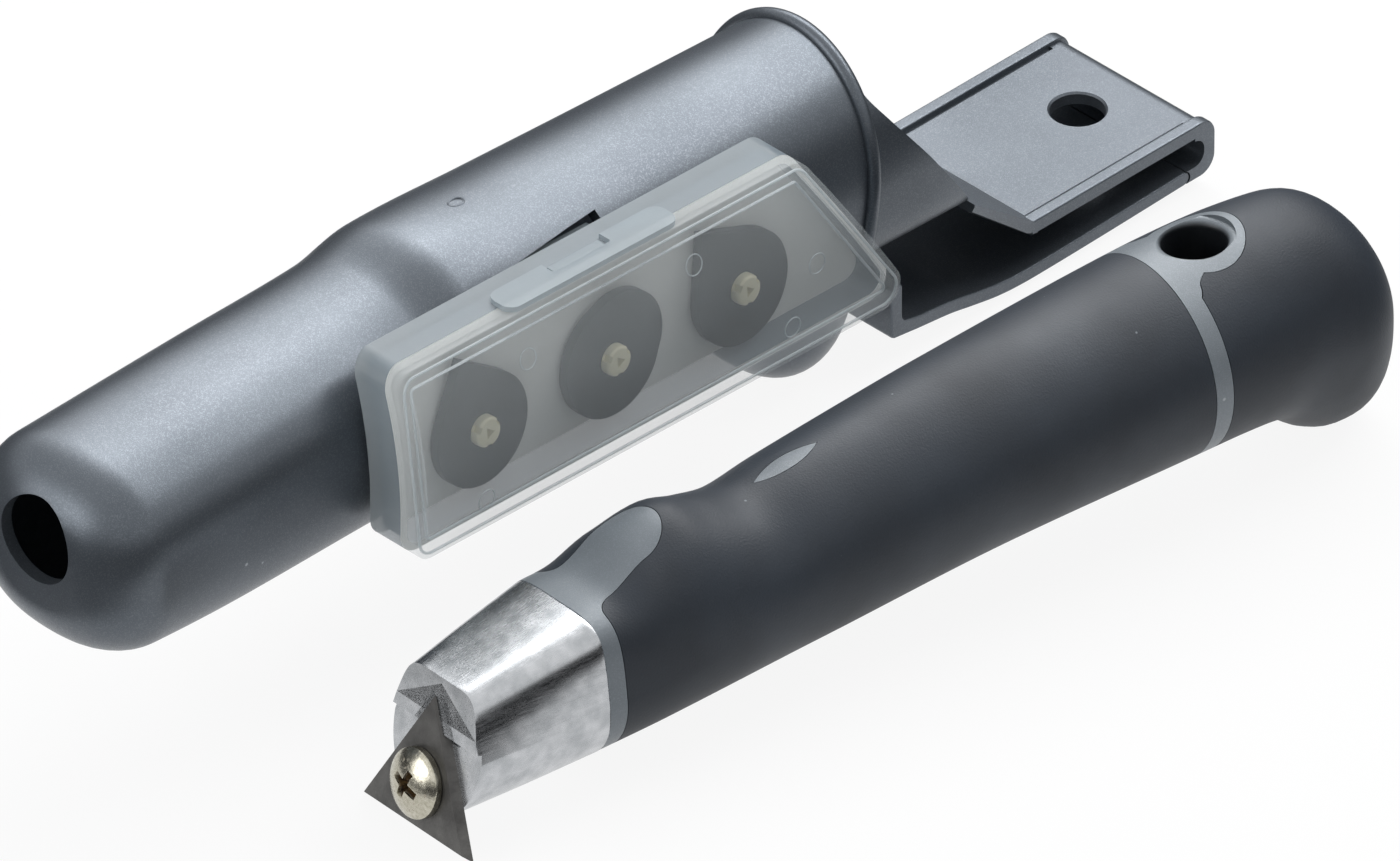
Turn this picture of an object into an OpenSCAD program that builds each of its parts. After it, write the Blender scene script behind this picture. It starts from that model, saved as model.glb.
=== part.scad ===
// Hand scraper with a triangular blade, its belt holster, and the case of spare blades on the holster.
// X runs along the holster from its tip to its belt plate, Z is up and the table is at Z = 0.
// The scraper is drawn in its own frame: its origin is the centre of the blade's front face,
// X runs to the rear of the handle. The holster's own origin is the centre of its tip hole.

/* [Handle] */
// Distance from the blade's centre to the rear end of the handle
handle_reach = 170; // [160:1:185]
// Radius of the grip behind the thumb rest
grip_front_r = 13.4; // [12.5:0.1:14.5]
// Radius of the grip at the rear band
grip_rear_r = 15.7; // [14:0.1:16.5]
// Height of the grip's axis over the blade's centre, behind the thumb rest
grip_front_z = 10.7; // [9:0.1:12]
// Height of the grip's axis over the blade's centre, at the rear band
grip_rear_z = 15; // [13:0.1:17]
// Height of the thumb rest's crown over the blade's centre
thumb_top = 27.4; // [26:0.1:29]
// Height of the heel's top over the blade's centre
heel_top = 30.6; // [28:0.1:33]
// Half width of the heel
heel_half_w = 14; // [12:0.1:16]
// Thickness of the rubber over the core
rubber_t = 2; // [1.4:0.1:2.6]
// Length of the core's bare collar behind the head
collar_len = 2.8; // [2:0.1:5]
// Half width of the bare pad on the thumb rest
pad_half_w = 5.5; // [3:0.1:6]
// Length of the oval inlay
inlay_len = 11.5; // [8:0.5:16]
// Width of the oval inlay
inlay_w = 3.1; // [2.5:0.1:5]
// Place of the bare rear band, from the blade's centre
band_x = 130.6; // [126:0.1:136]
// Width of the bare rear band
band_w = 3; // [2:0.1:4]
// Radius of the hang hole
hang_r = 4.75; // [3.5:0.05:5.5]
// Radius of the bare ring round the hang hole
ring_r = 7.3; // [6.5:0.1:9]

/* [Head and blade] */
// Distance from the blade's centre to the joint between head and collar
head_reach = 24; // [20:0.5:27]
// Half width of the head at the collar
head_half_w = 11.5; // [10.5:0.1:12.5]
// Lean of the blade's face from upright
blade_lean = 14.6; // [5:0.1:20]
// Roll of the scraper as it lies on one corner of its blade
scraper_roll = 4.5; // [0:0.5:6]
// Side of the triangular blade
blade_side = 25; // [24:0.5:26]
// Thickness of the blade
blade_t = 1.4; // [1:0.1:2]
// How far the blade's edges slope in from its back to its face
blade_bevel = 0.7; // [0.2:0.1:0.9]
// How far the lip over the blade stands out past the blade's seat
lip_proud = 1; // [0.4:0.1:1.4]
// Radius of the screw's thread
screw_r = 2.5; // [2:0.1:3]
// Radius of the screw's head
screw_head_r = 5.2; // [4.4:0.1:6]
// Thickness of the screw's head
screw_head_t = 3; // [2.2:0.1:4]
// Length of the screw inside the head
screw_len = 4; // [3:0.5:4.5]
// Radius of the steel tang in the handle
tang_r = 4; // [3:0.1:4.5]
// Length of the tang inside the handle
tang_len = 62; // [40:1:90]

/* [Holster] */
// Distance from the tip to the end of the belt plate
holster_len = 221.5; // [210:0.5:235]
// Distance from the tip to the rim of the mouth
mouth_x = 151.6; // [148:0.1:156]
// Half width of the tube in front of its step
tube_front_w = 17.3; // [16.8:0.1:17.8]
// Half width of the tube behind its step
tube_rear_w = 18; // [17.6:0.1:18.2]
// Thickness of the tube's wall
shell_t = 2; // [1.6:0.1:2.4]
// Radius of the hole in the tip
tip_hole_r = 6.75; // [5:0.05:7.5]
// Width of the belt plate
plate_w = 31.4; // [30:0.2:34]
// Thickness of the belt plate
plate_t = 2; // [1.8:0.1:3]
// Depth of the belt plate's top under the tip hole's centre
plate_drop = 31; // [29:0.1:32]
// Radius of the hole in the belt plate
plate_hole_r = 4.1; // [3:0.05:5]
// Thickness of the clip's tongue
tongue_t = 2.3; // [2:0.1:2.8]
// Gap for the belt between plate and tongue
belt_gap = 4.5; // [4.1:0.1:5]
// Depth of the belt stop's sole under the tip hole's centre
stop_depth = 41.6; // [41:0.1:44]

/* [Case] */
// Place of the case's square end, from the tip
case_x = 47.6; // [44:0.1:50]
// Length of the case along its lower edge
case_len = 101.2; // [98:0.1:103]
// How much shorter the case's upper edge is
case_slant = 20.2; // [14:0.2:22]
// Slope of the case along the tube
case_pitch = 2; // [0:0.1:3]
// Height of the case
case_h = 30.2; // [29:0.2:32]
// Depth of the case from back to front
case_d = 9; // [8.4:0.1:9.6]
// Thickness of the case's walls
case_t = 1.2; // [0.9:0.1:1.4]
// Depth of the lid's part of the case
lid_d = 2.8; // [2.4:0.1:3.2]
// Distance between the blade posts
post_pitch = 26; // [25:0.1:27]
// Radius of the blade posts
post_r = 2.35; // [2:0.05:2.6]
// Radius of the round part of the spare blades
spare_r = 9.2; // [8:0.1:9.6]
// Thickness of the spare blades
spare_t = 1.6; // [1.2:0.1:2]

/* [Layout] */
// Yaw of the scraper against the holster
scraper_yaw = 7; // [0:0.5:9]
// Place of the blade's centre along the holster
scraper_x = 31.1; // [20:0.5:36]
// Distance of the blade's centre in front of the holster's axis
scraper_y = 46.8; // [46:0.2:60]

/* [Hidden] */
sides = 28;
fit = 0.05;
small_gap = 0.1;
past = 1;

blade_out_r = blade_side / sqrt(3);
blade_low = blade_out_r / 2 * cos(blade_lean) * cos(scraper_roll) + blade_side / 2 * sin(scraper_roll);
screw_hole_r = screw_r + fit;
scraper_z = blade_low;
holster_z = stop_depth;
plan_mid_y = -(scraper_y + handle_reach * 0.8 * sin(scraper_yaw) + grip_rear_r - tube_rear_w) / 2;

// Points of the outlines below are [x, value], joined by one smooth curve
function slope(p, i) =
    i == 0 ? (p[1][1] - p[0][1]) / (p[1][0] - p[0][0])
    : i == len(p) - 1 ? (p[i][1] - p[i - 1][1]) / (p[i][0] - p[i - 1][0])
    : (p[i + 1][1] - p[i - 1][1]) / (p[i + 1][0] - p[i - 1][0]);
function span_of(p, x, i = 0) = i >= len(p) - 2 || x < p[i + 1][0] ? i : span_of(p, x, i + 1);
function curve(p, x) =
    let (i = span_of(p, x), h = p[i + 1][0] - p[i][0], t = (x - p[i][0]) / h, b = 1 - t)
    (1 + 2 * t) * b * b * p[i][1] + t * b * b * h * slope(p, i)
    + t * t * (3 - 2 * t) * p[i + 1][1] - t * t * b * h * slope(p, i + 1);

// How far an end with rounding radius r has drawn in at x
function drawn_in(x, end, r) = r <= 0 || x <= end - r ? 0 : r - sqrt(max(0, r * r - pow(x - end + r, 2)));

// One ring of a loft: half width w, top, bottom, the widest level, the fullness of each half,
// how much the sides draw in towards the top, and how far the ring stands to one side
function ring(x, w, top, bottom, mid, full_top, full_bottom, taper = 0, aside = 0) =
    [for (k = [0:sides - 1])
        let (a = 360 * k / sides, up = sin(a) >= 0, f = 2 / (up ? full_top : full_bottom),
            s = sign(sin(a)) * pow(abs(sin(a)), f))
        [x, aside + w * (1 - taper * max(0, s)) * sign(cos(a)) * pow(abs(cos(a)), f),
            mid + (up ? top - mid : mid - bottom) * s]];

// A closed skin over rings that follow each other along X
module loft(rings) {
    n = len(rings[0]);
    m = len(rings);
    polyhedron(
        points = [for (r = rings, p = r) p],
        faces = concat(
            [[for (k = [0:n - 1]) k]],
            [[for (k = [0:n - 1]) m * n - 1 - k]],
            [for (i = [0:m - 2], k = [0:n - 1]) [i * n + k, (i + 1) * n + k, (i + 1) * n + (k + 1) % n]],
            [for (i = [0:m - 2], k = [0:n - 1]) [i * n + k, (i + 1) * n + (k + 1) % n, i * n + (k + 1) % n]]
        )
    );
}

// Places a piece drawn in the scraper's own frame
module in_scraper() {
    translate([-holster_len / 2 + scraper_x, -plan_mid_y - scraper_y, scraper_z])
        rotate([0, 0, -scraper_yaw]) rotate([-scraper_roll, 0, 0]) children();
}

// Places a piece drawn in the holster's own frame
module in_holster() {
    translate([-holster_len / 2, -plan_mid_y, holster_z]) children();
}

// Places a piece of the case, which stands in the holster's frame with a slight slope
module in_case() {
    in_holster() translate([slot_x, 0, case_drop]) rotate([0, case_pitch, 0])
        translate([-slot_x, 0, 0]) children();
}
case_drop = -1.65;

// Places a piece drawn on the blade's face: X runs into the head and Z up the face
module on_blade() {
    rotate([0, blade_lean, 0]) children();
}

// Outlines of the handle, in the scraper's frame
thumb_x = 45;
dip_x = 57;
waist_x = 64;
heel_x = 159;
end_side_r = 11;
end_top_r = 15;
end_sole_r = 8;
heel_sole = -blade_low;
head_top_rear = 20.2;
head_low_rear = -4.5;
head_mid = 7;
handle_width = [
    [head_reach, head_half_w], [head_reach + 12, 12.6], [waist_x, grip_front_r],
    [95, (grip_front_r + grip_rear_r) / 2 - 0.2], [band_x, grip_rear_r], [146, grip_rear_r - 0.6],
    [heel_x, heel_half_w], [handle_reach, heel_half_w - 0.6]];
handle_top = [
    [head_reach, head_top_rear], [head_reach + 6, head_top_rear + 1], [thumb_x - 9, thumb_top - 2.2],
    [thumb_x - 2, thumb_top], [thumb_x + 4, thumb_top - 1.6],
    [dip_x, grip_front_z + grip_front_r - 0.2], [waist_x + 2, grip_front_z + grip_front_r + 1.1],
    [80, grip_front_z + grip_front_r + 2.8], [95, 28.4], [band_x, grip_rear_z + grip_rear_r],
    [146, heel_top + 1], [heel_x, heel_top], [handle_reach, heel_top - 3]];
handle_low = [
    [head_reach, head_low_rear], [waist_x, grip_front_z - grip_front_r], [95, -0.9],
    [band_x, grip_rear_z - grip_rear_r], [142, -1.1], [149, heel_sole + 5.6], [154, heel_sole + 2],
    [heel_x, heel_sole], [handle_reach, heel_sole + 0.6]];
handle_mid = [
    [head_reach, head_mid], [waist_x, grip_front_z], [band_x, grip_rear_z], [heel_x, 12], [handle_reach, 11]];
handle_full_top = [
    [head_reach, 5], [head_reach + 3, 4.2], [head_reach + 14, 2.2], [waist_x, 2], [handle_reach, 2]];
handle_taper = [[head_reach, 0.08], [head_reach + 14, 0.02], [waist_x, 0], [handle_reach, 0]];
handle_aside = -0.4;
handle_shift = [
    [head_reach, handle_aside], [waist_x - 15, 0.3 * handle_aside], [waist_x, 0], [handle_reach, 0]];
handle_full_low = [[head_reach, 2], [band_x, 2], [heel_x, 1.85], [handle_reach, 2]];

function handle_ring(x, inset) =
    let (end = handle_reach - inset)
    ring(x,
        curve(handle_width, x) - inset - drawn_in(x, end, end_side_r - inset),
        curve(handle_top, x) - inset - drawn_in(x, end, end_top_r - inset),
        curve(handle_low, x) + inset + drawn_in(x, end, end_sole_r - inset),
        curve(handle_mid, x), curve(handle_full_top, x), curve(handle_full_low, x),
        curve(handle_taper, x), curve(handle_shift, x));

// Skin of the handle, drawn in by inset, from the collar to the rear end
module handle_skin(inset) {
    end = handle_reach - inset;
    straight = end - (end_top_r - inset);
    front_steps = 9;
    rear_steps = 14;
    loft(concat(
        [for (i = [0:front_steps]) handle_ring(head_reach + (waist_x - head_reach) * i / front_steps, inset)],
        [for (i = [1:rear_steps]) handle_ring(waist_x + (straight - waist_x) * i / rear_steps, inset)],
        [for (a = [18:18:90]) handle_ring(straight + (end_top_r - inset) * sin(a), inset)]
    ));
}

// A block across the whole handle between two places along it
module handle_slab(from, to) {
    reach = 60;
    translate([from, -reach / 2, -reach / 2]) cube([to - from, reach, reach]);
}

// Outline of the bare pad on the thumb rest, as an upright prism
module pad_prism() {
    pad_end = thumb_x - 3 - pad_half_w;
    pad_start = head_reach + collar_len;
    flare_r = 2.5;
    translate([0, 0, head_mid]) linear_extrude(height = 40) difference() {
        union() {
            translate([pad_start - past, -pad_half_w]) square([pad_end - pad_start + past, 2 * pad_half_w]);
            translate([pad_end, 0]) circle(r = pad_half_w, $fn = 48);
            translate([pad_start - past, -pad_half_w - flare_r])
                square([flare_r + past, 2 * (pad_half_w + flare_r)]);
        }
        for (side = [-1, 1])
            translate([pad_start + flare_r, side * (pad_half_w + flare_r)]) circle(r = flare_r, $fn = 40);
    }
}

// Outline of the inlay, as an upright prism between two arcs
module inlay_prism() {
    inlay_x = 65.5;
    arc_r = (inlay_len * inlay_len / 4 + inlay_w * inlay_w / 4) / inlay_w;
    translate([inlay_x, 0, grip_front_z]) linear_extrude(height = 40) intersection() {
        translate([0, arc_r - inlay_w / 2]) circle(r = arc_r, $fn = 96);
        translate([0, inlay_w / 2 - arc_r]) circle(r = arc_r, $fn = 96);
    }
}

// Outline of the ring round the hang hole and of the flare that joins it to the band
hang_x = band_x + 9.1;
module ring_prism() {
    flare = ring_r - 1.2;
    translate([0, 0, -20]) linear_extrude(height = 80) union() {
        translate([hang_x, 0]) circle(r = ring_r, $fn = 64);
        polygon([[band_x + band_w / 2, -flare - 1], [hang_x - 1.5, -flare],
            [hang_x - 1.5, flare], [band_x + band_w / 2, flare + 1]]);
    }
}

module tang_space(clearance) {
    translate([head_reach - past, 0, head_mid]) rotate([0, 90, 0])
        cylinder(r = tang_r + clearance, h = tang_len + past + clearance, $fn = 48);
}

module pin_space(r) {
    pin_x = head_reach + tang_len - 10;
    pin_reach = 2 * (grip_front_r - rubber_t - 3);
    translate([pin_x, pin_reach / 2, head_mid]) rotate([90, 0, 0]) cylinder(r = r, h = pin_reach, $fn = 32);
}
pin_r = 1.5;

// Hard core of the handle, bare at the collar, the thumb pad, the inlay, the band and the ring
module handle_core() {
    color("slategray") in_scraper() difference() {
        union() {
            handle_skin(rubber_t);
            intersection() {
                handle_skin(0);
                union() {
                    handle_slab(head_reach, head_reach + collar_len);
                    handle_slab(band_x, band_x + band_w);
                    pad_prism();
                    inlay_prism();
                    ring_prism();
                }
            }
        }
        translate([hang_x, 0, -40]) cylinder(r = hang_r, h = 100, $fn = 64);
        tang_space(0);
        pin_space(pin_r);
    }
}

// Rubber sleeve over the grip, open at the thumb pad and at the inlay
module grip_sleeve() {
    color("darkslategray") in_scraper() difference() {
        intersection() {
            handle_skin(0);
            handle_slab(head_reach + collar_len, band_x);
        }
        handle_skin(rubber_t);
        pad_prism();
        inlay_prism();
    }
}

// Rubber heel behind the band, open at the ring
module grip_heel() {
    color("darkslategray") in_scraper() difference() {
        intersection() {
            handle_skin(0);
            handle_slab(band_x + band_w, handle_reach + past);
        }
        handle_skin(rubber_t);
        ring_prism();
    }
}

// Steel rod that carries the head, moulded into the core
tang_in_head = 9;
module tang() {
    color("gray") in_scraper() difference() {
        translate([head_reach - tang_in_head, 0, head_mid]) rotate([0, 90, 0])
            cylinder(r = tang_r, h = tang_in_head + tang_len, $fn = 48);
        pin_space(pin_r);
    }
}

// Pin across the tang that keeps it in the core
module tang_pin() {
    color("silver") in_scraper() pin_space(pin_r);
}

// Outlines of the head
head_front = -6;
head_aside = -0.8;
head_width = [[head_front, 9.8], [2, 10], [12, 10.8], [head_reach, head_half_w - 0.1]];
head_top = [[head_front, 14.2], [4, 16.4], [head_reach, head_top_rear - 0.15]];
head_low = [[head_front, head_low_rear + 0.2], [8, head_low_rear + 0.2], [head_reach, head_low_rear + 0.15]];
head_full_top = [[head_front, 7.5], [head_reach, 5.4]];
head_taper = [[head_front, 0.3], [4, 0.28], [head_reach, 0.08]];
head_shift = [[head_front, head_aside], [4, head_aside], [head_reach, handle_aside]];
lip_low = 8.6;
notch_top = blade_out_r + 1.2;
notch_half_angle = 33.5;

// Steel head: a block with rounded shoulders, a seat for the blade and a lip with a V notch over it
module scraper_head() {
    head_steps = 7;
    deep = 40;
    color("silver") in_scraper() difference() {
        loft([for (i = [0:head_steps])
            let (x = head_front + (head_reach - head_front) * i / head_steps)
            ring(x, curve(head_width, x), curve(head_top, x), curve(head_low, x), head_mid,
                curve(head_full_top, x), 2.1, curve(head_taper, x), curve(head_shift, x))]);
        on_blade() {
            // front of the lip
            translate([-deep - lip_proud, -deep / 2, -deep]) cube([deep, deep, 2 * deep]);
            // seat of the blade under the lip
            translate([-deep, -deep / 2, lip_low - 2 * deep]) cube([deep, deep, 2 * deep]);
            // notch over the blade's upper corner
            translate([0, head_aside, 0]) rotate([90, 0, -90]) linear_extrude(height = 12)
                polygon([[0, notch_top],
                    [-(notch_top - lip_low + past) * tan(notch_half_angle), lip_low - past],
                    [(notch_top - lip_low + past) * tan(notch_half_angle), lip_low - past]]);
            // hole for the screw
            rotate([0, 90, 0])
                cylinder(r = screw_hole_r, h = screw_len + 0.3, $fn = 48);
        }
        translate([head_reach - tang_in_head, 0, head_mid]) rotate([0, 90, 0])
            cylinder(r = tang_r, h = tang_in_head + past, $fn = 48);
    }
}

// Triangular carbide blade with a hole for the screw
module blade() {
    slope_a = atan(blade_bevel / blade_t);
    color("dimgray") in_scraper() on_blade() difference() {
        translate([-blade_t, 0, 0]) rotate([90, 0, 90]) linear_extrude(height = blade_t)
            polygon([for (a = [90, 210, 330]) blade_out_r * [cos(a), sin(a)]]);
        for (a = [60, 180, 300])
            rotate([a, 0, 0]) translate([0, 0, blade_out_r / 2]) rotate([0, -slope_a, 0])
                translate([-4 * blade_t, -blade_side, 0]) cube([5 * blade_t, 2 * blade_side, blade_t]);
        translate([-blade_t - past, 0, 0]) rotate([0, 90, 0])
            cylinder(r = screw_hole_r, h = blade_t + 2 * past, $fn = 48);
    }
}

// Pan head screw with a cross recess, its thread drawn as a plain shank
module blade_screw() {
    recess_w = 1.3;
    recess_len = 5.6;
    recess_deep = 1.8;
    dome_r = 8.6;
    color("khaki") in_scraper() on_blade() difference() {
        union() {
            translate([-blade_t - small_gap, 0, 0]) rotate([0, 90, 0])
                cylinder(r = screw_r, h = blade_t + small_gap + screw_len, $fn = 48);
            translate([-blade_t, 0, 0]) rotate([0, -90, 0]) intersection() {
                cylinder(r = screw_head_r, h = screw_head_t, $fn = 64);
                translate([0, 0, screw_head_t - dome_r]) sphere(r = dome_r, $fn = 96);
            }
        }
        for (a = [20, 110])
            translate([-blade_t - screw_head_t - past, 0, 0]) rotate([a, 0, 0])
                translate([0, -recess_len / 2, -recess_w / 2])
                    cube([recess_deep + past, recess_len, recess_w]);
    }
}

// Outlines of the holster's tube
step_x = 64;
step_len = 10;
tip_r = 10;
tip_face_w = 8.3;
wall_end = mouth_x + 19.4;
tube_width = [
    [0, tube_front_w], [step_x, tube_front_w], [step_x + step_len, tube_rear_w],
    [122, tube_rear_w - 0.2], [mouth_x, tube_rear_w - 0.6], [wall_end, tube_rear_w - 0.8]];
tube_top = [
    [0, 11], [16, 11.3], [41, 12], [step_x, 13], [step_x + step_len, 15.3],
    [96, 14.4], [122, 13.4], [mouth_x, 12.6], [wall_end, 12.2]];
tube_low = [[0, -19.6], [step_x, -20.6], [mouth_x, -22], [wall_end, -22]];
tube_mid = [[0, -4.6], [step_x, -4.6], [mouth_x, -8], [wall_end, -9]];
tube_full_top = [[0, 2.55], [40, 2.55], [step_x + step_len, 2.3], [mouth_x, 2], [wall_end, 2]];
tube_full_low = [[0, 2.3], [25, 2.9], [step_x, 2.9], [mouth_x, 4.2], [wall_end, 5]];

function tube_ring(x, inset, x_draw) =
    let (r = tip_r - inset, draw = drawn_in(-x_draw, 0, r))
    ring(x, curve(tube_width, x) - inset - draw, curve(tube_top, x) - inset - draw * 0.9,
        curve(tube_low, x) + inset + draw * 0.9, curve(tube_mid, x),
        curve(tube_full_top, x), curve(tube_full_low, x));

// Skin of the tube, drawn in by inset, with its rounded tip
module tube_skin(inset, to) {
    r = tip_r - inset;
    front_steps = 5;
    rear_steps = 9;
    loft(concat(
        [for (a = [90:-22.5:0]) tube_ring(inset + r * (1 - sin(a)), inset, r * (1 - sin(a)))],
        [for (i = [1:front_steps])
            let (x = tip_r + (step_x - tip_r) * i / front_steps) tube_ring(x, inset, r)],
        [for (i = [1:3]) tube_ring(step_x + step_len * i / 3, inset, r)],
        [for (i = [1:rear_steps])
            let (x = step_x + step_len + (to - step_x - step_len) * i / rear_steps) tube_ring(x, inset, r)]
    ));
}

// Lip round the mouth, in a plane that leans back
mouth_lean = 7.4;
module mouth_lip() {
    lip_w = 2.2;
    lip_out = 1.1;
    intersection() {
        loft([for (x = [mouth_x - 9, mouth_x + 9]) tube_ring(x, -lip_out, 2 * tip_r)]);
        translate([mouth_x, 0, 0]) rotate([0, mouth_lean, 0])
            translate([-lip_w, -40, -60]) cube([lip_w, 80, 120]);
    }
}

// Cuts the tube away behind the mouth along a slope, which leaves its floor and two low side walls
wall_low = -20;
module mouth_cut() {
    high = 40;
    rotate([90, 0, 0]) translate([0, 0, -high]) linear_extrude(height = 2 * high)
        polygon([[mouth_x + high * tan(mouth_lean), high], [mouth_x + 7 * tan(mouth_lean), 7],
            [mouth_x + 4, 1.5], [wall_end, wall_low],
            [wall_end + past, wall_low], [wall_end + past, high]]);
}

// Rounded stop under the mouth, in front of the clip's hook
stop_x = mouth_x - 8;
stop_half_len = 11.5;
stop_half_w = 15;
module stop_form() {
    stop_rise = stop_depth + wall_low;
    intersection() {
        translate([stop_x, 0, wall_low]) loft([for (a = [-80:20:80])
            let (s = sin(a), c = pow(cos(a), 0.7))
            ring(stop_half_len * s, stop_half_w * c, 0.01, -stop_rise * c, 0, 2, 2.8)]);
        translate([0, -40, -60]) cube([200, 80, 60 + wall_low - shell_t / 2]);
    }
}

plate_top = -plate_drop;
plate_x = wall_end + 13;
bend_r = (plate_t + belt_gap + tongue_t) / 2;
bend_x = holster_len - bend_r;
tongue_top = plate_top - plate_t - belt_gap;
ridge_end = holster_len - 2.2;
ridge_h = 0.7;
ridge_w = 2;
groove_w = 0.6;
groove_deep = 0.4;

// Belt plate with a ridge and a groove along each side, drawn as its cross-section
module plate_section() {
    half = plate_w / 2;
    polygon(concat(
        [[-half, plate_top + ridge_h], [-half, plate_top - plate_t], [half, plate_top - plate_t],
            [half, plate_top + ridge_h], [half - ridge_w, plate_top + ridge_h],
            [half - ridge_w, plate_top - groove_deep], [half - ridge_w - groove_w, plate_top - groove_deep],
            [half - ridge_w - groove_w, plate_top]],
        [[groove_w + ridge_w - half, plate_top], [groove_w + ridge_w - half, plate_top - groove_deep],
            [ridge_w - half, plate_top - groove_deep], [ridge_w - half, plate_top + ridge_h]]));
}

// Slope from the tube's floor down to the belt plate
module floor_slope() {
    inner = plate_w / 2;
    rotate([90, 0, 0]) translate([0, 0, -inner]) linear_extrude(height = 2 * inner)
        polygon([[wall_end, wall_low], [plate_x + past, plate_top], [plate_x + past, plate_top - plate_t],
            [wall_end, wall_low - shell_t - 0.3]]);
}

// Bend at the end of the plate, down to the root of the tongue
knuckle_r = tongue_t / 2;
knuckle_x = bend_x - 2;
knuckle_z = tongue_top - tongue_t / 2;
bend_corner_r = 2.6;
module bend() {
    half = plate_w / 2;
    start = bend_x - 12;
    low = tongue_top - tongue_t;
    difference() {
        rotate([90, 0, 0]) translate([0, 0, -half]) linear_extrude(height = plate_w) difference() {
            polygon(rounded([[start, low], [holster_len, low], [holster_len, plate_top], [start, plate_top]],
                bend_corner_r));
            polygon(rounded([[start - 9, tongue_top], [holster_len - plate_t - 0.3, tongue_top],
                [holster_len - plate_t - 0.3, plate_top - plate_t], [start - 9, plate_top - plate_t]],
                0.45 * belt_gap));
            translate([start - 9, low - past]) square([knuckle_x - start + 9, plate_top - low]);
        }
        translate([knuckle_x, half + past, knuckle_z]) rotate([90, 0, 0])
            cylinder(r = knuckle_r + small_gap, h = plate_w + 2 * past, $fn = 48);
    }
}

// Slot in the tube's side over the case
slot_x = 91.6;
slot_len = 18.6;
slot_h = 2.4;
slot_z = 10.1;
module side_slot() {
    translate([slot_x - slot_len / 2, -20, slot_z - slot_h / 2]) cube([slot_len, 14, slot_h]);
}

// Moulded holster: tube with its tip hole, its mouth and the walls behind the mouth
module holster_shell() {
    color("lightslategray") in_holster() difference() {
        union() {
            tube_skin(0, wall_end);
            mouth_lip();
        }
        tube_skin(shell_t, wall_end + past);
        mouth_cut();
        translate([-past, 0, 0]) rotate([0, 90, 0]) cylinder(r = tip_hole_r, h = tip_r + 2 * past, $fn = 64);
        side_slot();
    }
}

// Belt stop, which the holster stands on, moulded on the tube's underside
module belt_stop() {
    color("lightslategray") in_holster() difference() {
        stop_form();
        tube_skin(0, wall_end);
        mouth_lip();
    }
}

// Belt plate behind the tube, with the slope down to it and its bend
module belt_plate() {
    color("lightslategray") in_holster() difference() {
        union() {
            floor_slope();
            rotate([90, 0, 90]) translate([0, 0, plate_x]) linear_extrude(height = ridge_end - plate_x)
                plate_section();
            bend();
        }
        translate([bend_x - 8, 0, plate_top - plate_t - past])
            cylinder(r = plate_hole_r, h = plate_t + 2 * past, $fn = 64);
    }
}

// Points of the tongue's middle line, from its root to its hook
hook_x = stop_x + stop_half_len + tongue_t / 2 + 0.15;
hook_top = -27.7;
tongue_run = knuckle_x - hook_x;
tongue_line = [for (p = [[1, 0], [0.743, -0.4], [0.555, -0.6], [0.436, -0.6], [0.351, -0.2], [0.266, 0.7],
    [0.189, 1.6], [0.078, 2.4]]) [hook_x + p[0] * tongue_run, knuckle_z + p[1]]];

function side_of(p, i, t) =
    let (a = p[max(0, i - 1)], b = p[min(len(p) - 1, i + 1)], d = (b - a) / norm(b - a))
    p[i] + t * [-d[1], d[0]];

// Springy tongue of the belt clip, with its hook behind the belt stop
module belt_clip() {
    last = len(tongue_line) - 1;
    half = tongue_t / 2;
    foot = knuckle_z + 1.9;
    corner = 0.6;
    color("lightslategray") in_holster() rotate([90, 0, 0]) translate([0, 0, -plate_w / 2])
        linear_extrude(height = plate_w) polygon(concat(
            [for (i = [1:last]) side_of(tongue_line, i, half)],
            [[hook_x - half + corner, foot], [hook_x - half, foot + corner],
                [hook_x - half, hook_top - corner], [hook_x - half + corner, hook_top],
                [hook_x + half - corner, hook_top], [hook_x + half, hook_top - corner],
                [hook_x + half, foot + tongue_t]],
            [for (i = [last:-1:1]) side_of(tongue_line, i, -half)],
            [for (a = [90:-15:-90]) [knuckle_x + knuckle_r * cos(a), knuckle_z + knuckle_r * sin(a)]]));
}

// Profile of the case across its length: [y, z] points of a line that follows the tube's side
case_low = -15;
case_front = tube_rear_w + 0.3 + case_d;
case_bow_r = 69;
case_bow_z = case_low + 7;
function case_line(depth, z) =
    -case_front + depth
        + (z < case_bow_z ? 0 : case_bow_r - sqrt(pow(case_bow_r, 2) - pow(z - case_bow_z, 2)));

// A curved slice of the case between two depths from its front, over a height that starts and ends at z
module case_slice(front, back, from, to) {
    steps = 10;
    rotate([90, 0, 90]) linear_extrude(height = 300) polygon(concat(
        [for (i = [0:steps]) let (z = from + (to - from) * i / steps) [case_line(front, z), z]],
        [for (i = [steps:-1:0]) let (z = from + (to - from) * i / steps) [case_line(back, z), z]]));
}

// A convex outline with every corner rounded to radius r
function rounded(p, r) = [for (i = [0:len(p) - 1], k = [0:6])
    let (n = len(p), b = p[i], to_a = p[(i + n - 1) % n] - b, to_c = p[(i + 1) % n] - b,
        d = to_a / norm(to_a), e = to_c / norm(to_c), half = acos(d * e) / 2, turn = 180 - 2 * half,
        o = b + r / sin(half) * (d + e) / norm(d + e),
        t = (b + d * r / tan(half) - o) / r, q = (b + e * r / tan(half) - o) / r)
    o + r * (sin(turn * (1 - k / 6)) * t + sin(turn * k / 6) * q) / sin(turn)];

// Outline of the case seen from the front, drawn in by inset, as a prism across it
case_corner_r = 3.5;
module case_outline(inset) {
    lean = atan(case_slant / case_h);
    low = case_low + inset;
    top = case_low + case_h - inset;
    left = case_x + inset;
    left_slant = 1;
    foot = case_x + case_len - inset / cos(lean);
    rotate([90, 0, 0]) linear_extrude(height = 60) polygon(rounded(
        [[left + left_slant, low], [foot - inset * tan(lean), low],
            [foot - (top - case_low) * tan(lean), top], [left, top]],
        case_corner_r - inset));
}

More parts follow.
